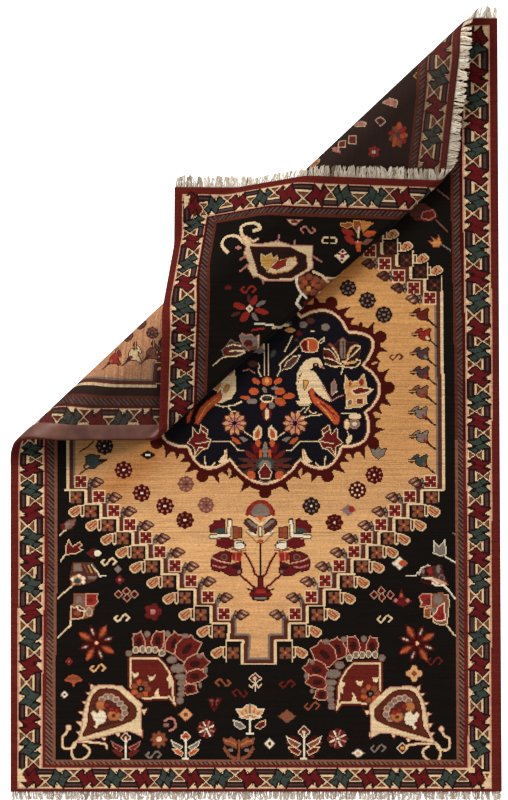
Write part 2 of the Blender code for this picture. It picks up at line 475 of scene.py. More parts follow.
# The boxes and flowers that follow the field's steps, at the middle of each upright.
def paintSteps():
    form = fieldForm
    half = form["boxHalf"]
    motifs = {"lower": (rustBox, hookFlower, leafBud), "upper": (rustBoxUpper, hookFlowerUpper, leafBudUpper)}
    for level, side in (("lower", 1), ("lower", -1), ("upper", 1), ("upper", -1)):
        away = form[level]
        boxChart, hookChart, budChart = motifs[level]
        steps = form[level + ("Right" if side > 0 else "Left")]
        ends = [y for _, y in steps[1:]] + [form[level + "Tip"]]
        mirrored = side < 0
        for number, ((x, y), end) in enumerate(zip(steps, ends)):
            middle = (y + end) / 2
            box = x + side * away["box"]
            stroke([(x, y), (x + side * (15.6 if number else away["firstTread"]), y)], 1.2, "c")
            stamp(box, middle, boxChart)
            stroke([(box + side * half, y), (box + side * half, end - 3)], 1.1, "c")
            if number:
                stamp(box + side * away["hook"][0], middle + away["hook"][1], hookChart, mirrored)
            if number < away["crosses"]:
                stamp(x - side * away["cross"][0], middle + away["cross"][1], redCross)
                budX = x - side * (away["bud"][0] + number * away["budShift"])
                stamp(budX, middle + away["bud"][1], budChart, mirrored)
        start = form["right"] if side > 0 else form["left"]
        for motif, (reach, y) in ((redCross, away["firstCross"]), (leafBud, away["firstBud"])):
            if level == "lower" or side > 0:  # the fold covers the upper left one
                stamp(start - side * reach, y, motif, mirrored)


# Where each edge band ends, from the outside in: edge, line, border, line, red, diagonals, rust line.
# The sides' limits are given at the heights; pitch and share are the diagonals', and the guard's
# colours change below upperEnd and middleEnd
bandForm = {
    "heights": {"left": [485, 560, 715], "right": [75, 215, 355, 560, 715]},
    "left": [(18.6, 18.7, 18), (20.6, 20.6, 19.9), (43.4, 43.4, 40.7), (45.2, 45.2, 42.8), (48, 48.6, 46.2),
             (54.5, 54.9, 52.5), (57.6, 57.9, 55.5)],
    "right": [(-488.5, -489.5, -491.7, -490.8, -490.6), (-487, -487.7, -489.8, -488.8, -488.4),
              (-463.6, -464.2, -466.5, -468.3, -469), (-461.8, -462.2, -464.7, -466.5, -467.2),
              (-458.4, -458.8, -461.8, -462.8, -463.2), (-452, -452.5, -456.5, -457.6, -458.3),
              (-449.8, -450.4, -453.4, -454.4, -455.4)],
    "top": [(7,), (8.4,), (28.5,), (29.8,), (32.5,), (37.5,), (40.5,)],
    "bottom": [(2.8,), (4.1,), (22.6,), (24.3,), (26.7,), (30.3,), (32.2,)],
    "letters": "elcleai",
    "pitch": 4.6,
    "share": 0.45,
    "risingEnd": 367,
    "upperEnd": 440,
    "middleEnd": 640,
}


# The edge bands and guards on all four sides: a knot's band is the number of limits that it has
# passed from the nearest side, and the diagonals are stripes of run + across or run - across.
def sideBands():
    x = np.repeat(sideX[None, :], rows, axis=0)
    y = np.repeat(downY[:, None], columns, axis=1)
    level = np.full(x.shape, 7)
    owner = np.zeros(x.shape, int)
    sides = (("left", gridX), ("right", -gridX), ("top", y), ("bottom", rows - y))
    for number, (name, away) in enumerate(sides):
        limits = bandForm[name]
        own = np.zeros(x.shape, int)
        for places in limits:
            if len(places) == 1:
                own += away >= places[0]
            else:
                own += away >= np.interp(gridY, bandForm["heights"][name], places)
        owner = np.where(own < level, number, owner)
        level = np.minimum(level, own)
    for step, letter in enumerate(bandForm["letters"]):
        chart[level == step] = ord(letter)
    upright = owner < 2
    run = np.where(upright, y, x)
    across = np.where(upright, x, y)
    rising = ((owner == 1) & (gridY < bandForm["risingEnd"])) | (owner == 2)
    phase = np.where(rising, run + across, run - across) % bandForm["pitch"]
    upper = gridY < bandForm["upperEnd"]
    band = level == 5
    dark = phase < bandForm["pitch"] * bandForm["share"]
    chart[band & dark] = ord("d")
    chart[band & ~dark] = ord("a")
    chart[band & (gridY < bandForm["middleEnd"]) & ~dark] = ord("z")
    chart[band & upper & ~dark] = ord("j")
    chart[(level == 6) & upper] = ord("v")
    chart[(level == 4) & upper] = ord("f")


# One unit of the border in its own measure, 12 from the middle to the edge, and what lies between two
unitForm = {
    "outline": [(-4, -11.4), (4.4, -5.6), (11.2, -4.8), (11.2, -3.6), (3.4, 3), (11.2, 4.6), (4, 11.4),
                (-4.4, 5.6), (-11.2, 4.8), (-11.2, 3.6), (-3.4, -3), (-11.2, -4.6)],
    "bar": [(4.5, -10.2), (11.6, -10.2), (11.6, 10.2), (4.5, 10.2)],
    "barStreak": [(7.9, -8.6), (7.9, 8.6)],
    "outerTriangle": [(-10.6, -4.9), (-10.6, 4.9), (-4.9, 0)],
    "innerTriangle": [(-3, 0), (2.4, -5), (2.4, 5)],
    "veins": [[(-8.5, -2.4), (-2, -0.6), (2, 0.6), (8.5, 2.4)], [(-3, -9.5), (-0.6, -5.5), (-4, -2.6)],
              [(3, 9.5), (0.6, 5.5), (4, 2.6)]],
    "pitch": 26,
    "reach": 12,
    "fitted": 11.1,
}


# Middle and half width of one side's border at a place along it, from where its bands end.
def borderPlace(name, along):
    outer, inner = [bandForm[name][step] for step in (1, 2)]
    if len(outer) > 1:
        outer, inner = [abs(np.interp(along, bandForm["heights"][name], limit)) for limit in (outer, inner)]
    else:
        outer, inner = outer[0], inner[0]
        if name == "top":
            outer, inner = chartForm["top"] + outer, chartForm["top"] + inner
        else:
            outer, inner = [chartForm["top"] + rows - limit for limit in (outer, inner)]
    return (outer + inner) / 2, abs(outer - inner) / 2 * unitForm["reach"] / unitForm["fitted"]


# A run of the border: units at (place, colour) along it, linked by bars that change sides.
# side is 1 where the first unit's bar leads off on the positive side.
def borderRun(units, name, side):
    upright = name in ("left", "right")

    def turn(points, flip, at, stretch):
        line = []
        for a, b in points:
            along = at + b * stretch
            middle, half = borderPlace(name, along)
            across = middle + flip * a * half / unitForm["reach"]
            line.append((across, along) if upright else (along, across))
        return line

    def patch(points, colour, edge, rim):
        points, low, high = spread(points)
        area = window(low, high, 4)
        mask = insideOf(points, gridX[area], gridY[area])
        put(area, grow(mask), rim)
        put(area, mask, colour, edge)

    gaps = []
    for i, ((at, _), (nextAt, _)) in enumerate(zip(units, units[1:])):
        gaps.append((side if i % 2 == 0 else -side, (at + nextAt) / 2, (nextAt - at) / unitForm["pitch"]))
    for gap in gaps:
        fill(turn(unitForm["bar"], *gap), "d", "k")
        stroke(turn(unitForm["barStreak"], *gap), 2.4, "x")
    for i, (at, colour) in enumerate(units):
        flip = -side if i % 2 == 0 else side
        before = units[i - 1][0] if i else at - unitForm["pitch"]
        after = units[i + 1][0] if i + 1 < len(units) else at + unitForm["pitch"]
        outline = []
        for a, b in unitForm["outline"]:
            room = (at - before if b < 0 else after - at) / unitForm["pitch"]
            outline += turn([(a, b)], flip, at, room)
        patch(outline, colour, "k", "d")
        for vein in unitForm["veins"][:3 if colour == "g" else 1]:
            stroke(turn(vein, flip, at, 1), 0.8, "k" if colour == "g" else "f")
    for gap in gaps:
        for part in ("outerTriangle", "innerTriangle"):
            light = not upright or gap[1] > bandForm["upperEnd"]
            patch(turn(unitForm[part], *gap), "h" if light else "v", "v", "c")


# Where the border's units lie along each side, their colours, and the side of the first bar
borderForm = {
    "left": ([35, 56, 75, 104, 123, 150, 170, 187, 204, 224, 247, 272.46, 297.92, 323.38, 348.84, 374.3,
              399.76, 425.22, 450.7, 468.3, 488.9, 512.6, 539.4, 559.5, 585.6, 610.8, 639.1, 665.3, 699,
              722.7, 748, 774.5], "rgrgrgrgrgrgrgrgrrgrgrgrgrgrgrgr", -1),
    "right": ([46.7, 76.6, 101.8, 125.8, 148.3, 175.1, 201.1, 227.1, 252.2, 277.4, 301.2, 331, 352.2, 376.7,
               402, 421.1, 444.8, 465.3, 487.5, 512, 534.9, 557.1, 580.7, 610.5, 637.3, 664.8, 690.7, 719.7,
               746.5, 776], "grgrgrgrgrgrgrgrgrgrgrgrgrgrgr", 1),
    "bottom": ([31.5, 59.8, 88.2, 114, 143.3, 165.7, 192.2, 219.5, 250.2, 281.5, 311.4, 342, 367.8, 394.7,
                420.8, 447.8, 475.8], "rgrgrgrgrgrgrgrgr", -1),
    "top": ([31, 50, 81, 105, 132, 163, 186, 219, 247, 276, 305, 334, 363, 392, 421, 450, 476],
            "rgrgrrggrgrgrgrgr", -1),
}


# The border on all four sides, then its corners.
def paintBorders():
    for name, (places, colours, side) in borderForm.items():
        borderRun(list(zip(places, colours)), name, side)
    # The corners: cream between the last units and the edge
    fill([(468, 767), (474, 767), (474, 772), (468, 772)], "c")
    fill([(481.5, 771), (490, 771), (490, 786.5), (480, 786.5), (485, 779)], "c")
    fill([(484, 773.4), (488.4, 773.4), (486.2, 777)], "u", "v")
    fill([(18.5, 767.5), (21.6, 769), (27, 766.5), (22.5, 773), (28, 781.5), (17.5, 781.5)], "c")
    fill([(21, 28), (27, 27.4), (24.6, 37), (21, 40)], "c")


# The medallion's outline: its cusps on the right, and how far each arc between them stands out
medallionForm = {
    "middle": 264.8,
    "cusps": [(299.8, 461), (342, 448.5), (366.5, 412.5), (364, 365.5), (348, 331), (301, 316)],
    "bulges": [24, 15, 15, 15.5, 19, 14, 24],
}


# An arc from a to b that stands out by bulge halfway, to the left of the way from a to b.
def bow(a, b, bulge, steps=12):
    a = np.array(a, float)
    b = np.array(b, float)
    t = np.linspace(0, 1, steps, endpoint=False)[:, None]
    side = np.array([(a - b)[1], (b - a)[0]]) / np.hypot(*(b - a))
    return a + (b - a) * t + side * bulge * np.sin(math.pi * t) ** 0.8


# The dark medallion in its ring: arcs from cusp to cusp, with a knob and four leaves on each.
def paintMedallion():
    form = medallionForm
    axis = form["middle"]
    right = form["cusps"]
    left = mirror(right, axis)[::-1]
    ring = right + left
    bulges = form["bulges"][1:6] + [form["bulges"][6]] + form["bulges"][1:6][::-1] + [form["bulges"][0]]
    outline = []
    for a, b, bulge in zip(ring, ring[1:] + ring[:1], bulges):
        arc = bow(a, b, bulge)
        outline.append(arc)
        ahead = (np.array(b) - a) / math.dist(a, b)
        side = np.array([-ahead[1], ahead[0]])
        oval(*(arc[len(arc) // 2] + side * 7.4), 6.2, 6, "f", "d")
        for way, spot, reach in ((-1, arc[3], 13), (1, arc[-3], 13), (-1, arc[1], 10), (1, arc[-1], 10)):
            tip = spot + side * reach + ahead * way * 7
            fill([spot - ahead * way * 6 - side, spot + side * 6.5 - ahead * way * 3.5, tip,
                  spot + side * 4.5 + ahead * way * 4, spot + ahead * way * 4.5 - side], "f", "d")
    outline = np.concatenate(outline)
    area = window(outline.min(axis=0), outline.max(axis=0), 8)
    mask = insideOf(outline, gridX[area], gridY[area])
    wide = grow(mask, 6)
    put(area, wide, "f", "d")
    put(area, mask, "c", "l")
    put(area, shrink(mask, 3), "v")
    put(area, shrink(mask, 4), "n", "d")


# The bud, its stems, the tulip and the leaf on the right of the medallion's lower half
budShapes = [
    ([(271, 425), (276.5, 431), (276.5, 440), (271.5, 441.5), (268, 436), (267.5, 429)], "c"),
    ([(271, 428), (274.5, 433), (274.5, 438), (271.5, 438.5), (269.5, 434)], "o"),
    (smooth([(277, 437.5), (282, 434), (285, 432)]), 1.1, "c"),
    ([(284.5, 450.5), (292, 450), (296, 445)], 1.2, "c"),
    ([(296, 445), (300, 441.4), (317, 441.6)], 1.2, "c"),
    ([(289, 443.5), (292, 439), (298.5, 436.5), (297, 441), (292, 444.5)], "o"),
    ([(281, 440), (287, 437), (292, 436.5), (286, 442)], "s"),
    ([(329, 424), (331, 434), (337, 427), (337.6, 437), (343, 443), (336, 447), (335, 458), (327, 450),
      (322, 449), (318, 440), (323, 437), (321, 430)], "r", "c"),
    ([(322, 435), (330, 429)], 1, "c"),
    ([(318, 441), (334, 444)], 1, "c"),
    ([(322, 449), (330, 447), (335, 455)], 1, "c"),
    ([(325, 457), (324, 466), (319, 467), (315, 463)], 1.2, "c"),
    ([(302, 450), (305, 450), (306, 455), (312, 462), (307, 463.5), (302.5, 463)], "c"),
    ([(302.8, 449.6), (304.5, 458)], 1.4, "t"),
]


# What fills the medallion: a middle flower, daisies, buds, leaves and a palmette.
def paintMedallionFlowers():
    # Middle flower: orange petals round a dark eye, grey leaves between, two stems up, one drop below
    for x in (264.4, 268.4):
        stroke([(x, 345), (x, 375)], 1.3, "c")
    petals = [(266.8, 381.5, 5.2, 4.4, 0), (256, 381.5, 4.4, 2.6, 30), (277.6, 381.5, 4.4, 2.6, -30),
              (253.8, 391.6, 5, 3.6, 10), (279.5, 391.5, 5.2, 3.6, -10), (288.5, 396.4, 6, 3, -8),
              (280, 402, 5.6, 3.8, 20), (245, 397.6, 5, 2, 0), (263.2, 405.2, 3, 5, 20)]
    for x, y, w, h, turn in petals:
        oval(x, y, w, h, "o", "o", turn)
    for x, y, w, h in ((273.6, 397.6, 3.4, 1.8), (252, 401.5, 5, 3), (271.5, 405.4, 3, 3.4),
                       (274.5, 388.4, 3.4, 2)):
        oval(x, y, w, h, "s")
    oval(264.5, 390, 2, 3.2, "s", "", -35)
    oval(266.8, 398.7, 6.6, 4.2, "c")
    oval(266.8, 398.6, 5, 2.8, "d")
    oval(266.8, 397.6, 3, 1, "g")
    oval(266.8, 381, 2, 3.4, "y")
    oval(266.8, 414, 4.6, 7, "r")
    oval(266.8, 414, 2.4, 5.6, "c")
    # Daisies
    for x in (234.5, 294.9):
        bloom(x, 423.2, 13, 10, "p", "d")
        for turn in range(10):
            angle = math.radians(turn * 36 + 18)
            stroke([(x + 3 * math.cos(angle), 423.2 + 3 * math.sin(angle)),
                    (x + 11.4 * math.cos(angle), 423.2 + 11.4 * math.sin(angle))], 0.9, "e")
            angle += math.radians(18)
            oval(x + 8.4 * math.cos(angle), 423.2 + 8.4 * math.sin(angle), 2.4, 1.7, "t", "",
                 math.degrees(angle))
        oval(x, 423.2, 2.4, 2.4, "n")
    # Paired buds, their stems and the leaves beside them
    for side in (-1, 1):
        draw(budShapes, lambda points: [(264.8 + side * (x - 264.8), y) for x, y in points])
    # Bottom palmette
    for side in (-1, 1):
        for x, y, w, h, turn, colour in ((9, 452, 10, 2.6, 62, "f"), (13.5, 456, 9, 2.4, 40, "e"),
                                         (17, 460.5, 10, 2.2, 12, "b"), (17.5, 465.5, 10, 2, -4, "v"),
                                         (15, 470.5, 8, 2.2, -20, "b")):
            oval(265 + side * x, y, w, h, colour, "", side * -turn if side > 0 else turn)
        oval(265 + side * 8.5, 448.5, 3.4, 5, "r")
        oval(265 + side * 7, 443, 2.6, 3.6, "o")
        oval(265 + side * 14, 475, 4, 4.5, "o", "", side * 40)
        oval(265 + side * 4.5, 455, 1.6, 6, "o", "")
    oval(265, 450, 2.6, 8, "s")
    oval(265, 464, 9, 7.5, "g")
    oval(265, 465.5, 6.5, 5.5, "s")
    fill([(265, 462), (272, 472), (270, 479), (260, 479), (258, 472)], "r", "c")
    oval(265, 473, 3, 3.4, "e")
    stroke([(258, 480), (265, 483), (272, 480)], 1.2, "s")


# A cream bird with an orange wing and tail on the right, and a plainer one on the left.
def paintBirds():
    body = [(313, 357.5), (318.5, 358.5), (321.5, 362.5), (323.2, 367.5), (321.5, 368.6), (317.6, 366.2),
            (313.5, 367), (309.5, 369.6), (313.5, 371), (318, 377), (323.5, 386), (328, 395), (331.6, 401),
            (329, 401.8), (322, 398), (314, 391.5), (307, 391), (309.5, 398), (311.5, 403.2), (306, 404),
            (299.4, 399.6), (297.2, 391.5), (296, 384), (296.6, 374.5), (300.5, 366.5), (305.5, 360.5)]
    fill(body, "c")
    stroke(smooth([(322, 386), (331.5, 401)]), 1.2, "p")
    oval(315.3, 365.2, 2.9, 2.7, "k")
    oval(315.4, 365.2, 1.1, 1.1, "t")
    fill([(309.5, 370), (315, 367.4), (319, 367.6), (316, 371), (312, 371.5)], "n")
    stroke([(320, 366), (323.4, 368.2)], 1.6, "p")
    for x, y in ((298.4, 378.5), (299.6, 376), (301.2, 374), (298, 382), (300.2, 371.6)):
        oval(x, y, 0.8, 0.7, "b")
    fill([(303, 380.5), (306.6, 379.4), (308.6, 382), (306, 389.5), (303.8, 391.6), (302.4, 386)], "y", "u")
    wing = [(311.5, 387), (313.6, 389.5), (315.2, 396), (320.5, 399.5), (328, 404.5), (335, 410.5),
            (339.6, 417), (338.8, 424), (334.5, 425.6), (330, 420), (325.6, 416), (321.6, 411), (317, 406.6),
            (313, 404.4), (309.6, 397), (308.4, 391)]
    fill(wing, "o", "R")
    stroke([(321, 404), (330, 412), (335.5, 420)], 1, "R")
    stroke([(317, 402), (326, 412), (332, 421)], 1, "y")
    stroke([(319.5, 402), (328, 409.5), (337, 417.5)], 0.9, "r")
    fill([(295.6, 401.6), (300.5, 400.4), (309, 402.4), (311, 405.2), (304, 406), (299, 405.8)], "c")
    stroke([(304, 408), (300.5, 411), (297, 412)], 1.1, "c")
    stroke([(309.5, 406), (304.6, 412.5)], 1.1, "c")
    stroke([(309, 411), (312.4, 413.5), (316.5, 412.8)], 1.1, "c")
    stroke([(301, 418.6), (309, 416), (321, 414.8)], 1.2, "c")
    stroke([(341, 413.5), (353, 414)], 1.2, "c")
    left = [(226, 366), (232, 366.5), (235, 371), (235.6, 379), (236, 391), (231.5, 398.5), (221.5, 403.5),
            (216.2, 402), (217.5, 392), (221, 383), (224, 377), (221, 373.5), (222.5, 368.5)]
    fill(left, "c")
    oval(229, 371.5, 4.6, 4.4, "p")
    oval(227.5, 371, 1.7, 1.5, "d")
    fill([(217.5, 379), (221.5, 377.5), (222, 386), (218, 392), (213.5, 390), (213.5, 383)], "t", "c")
    oval(226.5, 388.5, 3, 5, "t", "", 20)
    tail = [(221, 389.5), (215, 395), (206, 401.5), (200, 407.5), (195, 417), (194.6, 424.4), (199, 424.6),
            (203.6, 417), (209.6, 410), (216, 404.6), (222, 399)]
    fill(tail, "o", "R")
    stroke([(217, 398), (206, 407), (198.5, 420)], 1, "y")
    fill([(186.5, 416.5), (190, 411), (196, 406), (193, 413), (190, 423), (186.6, 424)], "o", "r")
    stroke([(216, 405), (223, 407), (235, 405), (241, 402)], 1.4, "c")
    stroke([(228, 407), (232, 412), (236, 411)], 1.1, "c")


# The flowers between the birds and the medallion's edge, and the sprays at its top.
def paintMedallionSides():
    # Fan palmette, upper right
    fill([(323, 350), (329, 343), (334, 345), (338, 340), (343, 337), (347, 342), (353, 342), (358, 343),
          (360.5, 350), (358, 360), (348, 366), (336, 366), (326, 363), (322, 357)], "d", "v")
    fill([(339, 341), (342, 337.5), (345.5, 341), (345.5, 359), (340, 359)], "s", "a")
    stroke([(342.5, 341), (342.5, 358)], 1, "d")
    for points, colour in (([(330, 345), (335, 350), (337, 357)], "u"),
                           ([(353, 347), (349, 352), (347, 358)], "t"),
                           ([(327, 357), (334, 359), (339, 361)], "r"),
                           ([(355, 362), (349, 363), (345, 364)], "t"),
                           ([(326, 352), (331, 355), (336, 359)], "e")):
        stroke(smooth(points), 2.6, colour)
    for points in ([(324, 349), (329, 350), (333, 354), (337, 361)], [(324, 358), (332, 360), (340, 364)],
                   [(350, 349), (354, 346), (360, 347), (356, 352), (348, 359), (345, 362)],
                   [(332, 348), (337, 355), (339, 361)], [(325, 364), (334, 367), (343, 366)],
                   [(344, 367), (351, 368), (357, 366), (360, 361), (356, 360)], [(342, 362), (346, 362)]):
        stroke(smooth(points), 1.2, "c")
    stroke([(341, 364), (342.6, 369), (341, 374)], 1.2, "c")
    # Tulip on the right, green and cream
    fill([(344.5, 374.5), (349.5, 382), (357, 381), (363.5, 373), (366, 383), (367, 389), (371.5, 391.8),
          (366, 396), (367, 403.5), (360, 408), (351, 408.5), (344.6, 409.5), (346, 399), (343.6, 388)], "t",
          "c")
    oval(349.6, 384, 2.4, 3.6, "u", "t")
    oval(361, 382.6, 2.4, 3.8, "R", "u")
    fill([(350, 390.4), (357, 386.6), (366, 387.2), (373.6, 389.6), (366, 394), (356, 395.6), (351.4, 394.4)],
         "c")
    fill([(351.6, 391), (358, 388.2), (366, 388.8), (370.4, 389.9), (364, 392.8), (355, 394.2)], "e", "r")
    stroke([(345.8, 397), (347.4, 401)], 1.6, "y")
    fill([(346.5, 400), (352, 398.5), (352, 405), (346.8, 407)], "a", "c")
    fill([(355, 398.5), (364, 397.6), (363, 404.6), (356, 405)], "b", "c")
    stroke([(356, 401.5), (362.5, 401)], 1, "R")
    fill([(330.5, 384), (334, 379), (337, 386), (335, 393), (331, 395)], "s", "p")
    stroke([(331, 401), (338, 397), (343, 395.5)], 1.2, "p")
    stroke([(332, 395.5), (337, 391)], 1, "c")
    # Pale flower, lower right
    oval(354.5, 416.5, 6, 3.2, "c")
    oval(354, 424, 5.6, 5, "s", "p")
    oval(354, 424, 2.4, 2.4, "c")
    oval(346.4, 424.5, 2.9, 5.4, "c", "t")
    fill([(347, 437), (351.5, 434.5), (351, 441), (347, 445.5), (345.4, 441)], "c")
    stroke([(347, 431), (349, 437)], 1, "c")
    # Upper flower, half dark red and half orange, with its stem and leaf
    fill([(299, 344), (304, 339), (312, 337.5), (317.5, 341), (319, 346), (317, 352), (309, 353.5),
          (302, 352)], "o", "c")
    fill([(300.5, 344.5), (304.6, 340.5), (308, 342), (306.4, 346.5), (308.6, 351.6), (303, 351)], "r")
    stroke([(308.5, 341), (307.5, 346), (309, 352)], 1, "c")
    fill([(318, 341.5), (324.5, 336.6), (324, 341.5), (320, 344.5)], "g", "c")
    stroke([(298.6, 346), (292, 353), (285, 359), (279.5, 364.5), (280.5, 370), (277, 376)], 1.1, "c")
    stroke([(292, 336.5), (288, 345), (284.5, 351.5)], 1.1, "c")
    fill([(281.6, 370.8), (286, 362), (293, 356.5), (300.5, 354.8), (297.5, 361.5), (290, 369)], "g", "c")
    stroke([(284, 368.6), (297, 357)], 2, "e")
    # Sprays along the top
    for x, y, w, h, colour in ((290, 330.5, 6, 3.2, "t"), (299, 334, 4, 2.6, "r"), (303, 325, 5, 4, "s"),
                               (312.5, 331.5, 3, 1.6, "c"), (325, 327.5, 5, 4.4, "s"), (310, 321, 5, 4, "b"),
                               (289, 324, 4, 3, "g"), (296, 340, 3, 2, "b")):
        oval(x, y, w, h, colour, "d")
    for x0, x1, y in ((263, 270, 325), (272, 281, 327.5), (283, 288, 325.5), (257, 261, 325)):
        stroke([(x0, y), (x1, y)], 2.2, "c")
    fill([(251, 331), (258, 327.5), (265, 330), (258, 333.6)], "R")
    fill([(240, 336), (250, 332.5), (262, 335), (263, 351), (251, 350), (243, 352)], "s", "p")
    oval(253, 343, 5, 4, "r", "s")
    oval(259, 351, 6, 2.6, "s")
    stroke([(262, 336), (263.5, 349)], 1, "c")
    stroke([(236, 357), (246, 357.5), (253, 352)], 1.2, "c")
    stroke([(243, 345), (250, 348), (256, 347)], 1, "t")
    stroke([(256, 361), (259.6, 366), (258, 371), (261, 377)], 1.1, "c")
    stroke([(243, 371), (249, 369.5), (254, 373)], 1.2, "p")
    oval(252.5, 364, 5.4, 4, "b", "d")
    oval(236.5, 343, 5, 6, "b", "r")
    oval(273, 354, 3, 5, "g", "d", 30)


# An eight-petalled rosette: dark ground, a pale dot in each petal, and a heart.
def rosette(x, y, ground="d", dots="p", heart="w", radius=8.4):
    bloom(x, y, radius, 8, ground, waist=0.88)
    for step in range(8):
        angle = math.radians(step * 45 + 22.5)
        oval(x + radius * 0.62 * math.cos(angle), y + radius * 0.6 * math.sin(angle), 1.1, 1, dots)
    oval(x, y, 1.2, 1.1, heart)


# A diamond of half width w and half height h.
def diamond(x, y, w, h, colour, edge, heart=""):
    fill([(x - w, y), (x, y - h), (x + w, y), (x, y + h)], colour, edge)
    if heart:
        oval(x, y, max(w * 0.3, 1), max(h * 0.3, 1), heart)


# A small lying S of two hooks.
def letterHook(x, y, colour, mirrored=False, size=0.84):
    way = -size if mirrored else size
    line = [(-5.2, -3.2), (-8.9, 0), (-4.8, 3.7), (-2.9, 2.9), (2.3, -4), (4.6, -4.6), (9, -0.9), (5.2, 2.9)]
    stroke([(x + a * way, y + b * size) for a, b in line], 1.7, colour)


# The tulip on the right of the field: x is its petals, z its base
tulipRight = [
    "........ddd......dd..",
    "......ddxxxd...ddxxd.",
    ".....dxxxxd..ddxxxxd.",
    "....dxxxxdddddxxxxxd.",
    "...dxxddxxxxxxxxxxd..",
    "dddddddxxxxxxxxxxxd..",
    ".......dxxxxxxxxxxd..",
    "dddddddddxxxxxxxxxd..",
    "..ddd..dxxxxxxxzxxd..",
    ".......dxxxxxxzzzxd..",
    "........dxxxxxzzzzd..",
    ".........ddxxxxzzzdd.",
    "...........ddddddddd.",
    ".................ddd.",
]


# The rosettes, diamonds and tulips on the golden field.
def paintFieldFlowers():
    for x, y in ((347.6, 288.6), (367, 300.8), (383.4, 315)):
        rosette(x, y, "d", "s", "s", 8.6)
    for x, y, dots in ((105, 446, "s"), (124, 470, "p"), (142, 493, "p"), (165, 506, "p"), (185, 520, "m"),
                       (374, 475, "p"), (357, 490, "c"), (334, 522.5, "m"), (311, 506, "s")):
        rosette(x, y, "d" if dots == "s" else "f", dots, "w", 9)
    for x, y in ((186, 484), (206, 505)):
        rosette(x, y, "m", "p", "r", 8.2)
    diamond(148, 455, 8.5, 5, "k", "b", "w")
    diamond(348, 510, 8.5, 6, "s", "p", "s")
    oval(351, 509, 3, 3, "R")
    fill([(369, 447), (375, 449), (378, 446), (381, 449), (387, 447.5), (384, 455), (378, 460), (372, 455)],
         "s", "d")
    letterHook(395.5, 357.5, "e", False, 0.72)
    tulips = [(419.5, 315, "e", "b"), (421, 335, "R", "c"), (419.5, 354.5, "x", "s"), (419.5, 373, "x", "R"),
              (419, 392, "m", "R"), (418, 413, "s", "R"), (418.5, 437, "s", "R"), (418, 461, "g", "m")]
    for x, y, petal, base in tulips:
        stamp(x, y, [line.replace("x", petal).replace("z", base) for line in tulipRight])
        stroke([(x + 8, y + 5), (x + 12, y + 9), (x + 16, y + 12)], 1.7, "d")
    for x, y, petal, base in ((97, 335, "R", "o"), (102, 316, "c", "e"), (105, 299, "m", "b")):
        stamp(x, y, [line.replace("x", petal).replace("z", base) for line in tulipRight], True)
        stroke([(x - 7, y + 5), (x - 11, y + 8), (x - 14, y + 11)], 1.7, "d")
    for x, y in ((131, 313), (118, 325), (122, 300)):
        rosette(x, y, "d", "m", "m", 6)
    fill([(85, 456), (90, 454), (101, 455), (100, 459), (106, 461), (99, 465.6), (94, 469.4), (86, 469.4),
          (83, 467), (86, 463)], "g", "d")
    stroke([(100, 461), (107, 460)], 2.4, "d")
    oval(88, 467, 2, 1.6, "l")
    stroke([(90, 467), (84, 471), (80, 474)], 1.5, "b")
    stroke([(94, 441), (88, 447), (80, 452)], 1.5, "b")


# The right half of the vase and its flowers, measured from the axis; past 30 it spreads
vaseForm = {
    "axis": 260.3,
    "spread": 0.35,
    "shapes": [
        ([(3, 525), (11, 517.5), (16, 519), (17, 524), (11, 530), (4, 536)], "b", "d"),
        ([(4.5, 527), (12, 521)], 3, "s"),
        ([(5, 535), (12, 531)], 2, "w"),
        ([(9, 532), (13, 529)], 1.2, "s"),
        ([(3, 543), (8, 538), (14, 532)], 1.2, "d"),
        ([(1.5, 576.5), (5.5, 574), (7.6, 567), (11, 560), (15.5, 553)], 2.3, "r"),
        ([(4, 589), (12, 582), (20, 575)], 2.2, "r"),
        ([(18, 527), (28, 526), (28, 539), (18, 538)], "u", "d"),
        ([(21.5, 529), (21.5, 537)], 1.2, "R"),
        ([(30.5, 520), (31, 535), (44, 536.5)], 5, "d"),
        ([(30.5, 521), (31, 535), (44, 536.5)], 3, "w"),
        ([(33.4, 519), (37, 518), (38, 520), (42, 519.6), (43, 523), (46, 526), (45, 533), (33.4, 533)],
         "r", "d"),
        ([(34.5, 527), (41, 529), (43, 532.6), (34, 532.6)], "g"),
        ([(16, 541), (21, 539.5), (27, 541), (27, 549), (20, 550), (14.5, 548)], "w", "g"),
        ([(14.5, 545), (19, 542), (24, 543)], 1.2, "d"),
        ([(26, 540), (32, 537.6), (40, 539), (41, 546), (33, 549), (27, 547)], "r", "e"),
        ([(14, 550), (21, 551.4), (28, 549)], 1.4, "u"),
        ([(18, 552), (29, 551.6), (29, 560), (19, 562)], "R", "o"),
        ([(24.5, 554), (24.5, 561)], 1.4, "p"),
        ([(28, 552), (33, 550), (38, 551.5), (43, 555), (45, 561), (44, 570), (38, 572), (30, 567)], "r",
         "d"),
        ([(34.5, 557)], 3.6, 3.2, "b", "a"),
        ([(31, 563), (38, 561), (43, 558)], 1.3, "l"),
        ([(31, 566.6), (37, 567.4), (43, 565)], 1.4, "p"),
        ([(19, 561), (30, 564), (37, 571), (31, 576), (23, 576), (18, 573)], "r", "d"),
        ([(24, 567)], 4, 2, "d"),
        ([(21, 571.6)], 1.6, 1.8, "s"),
    ],
}


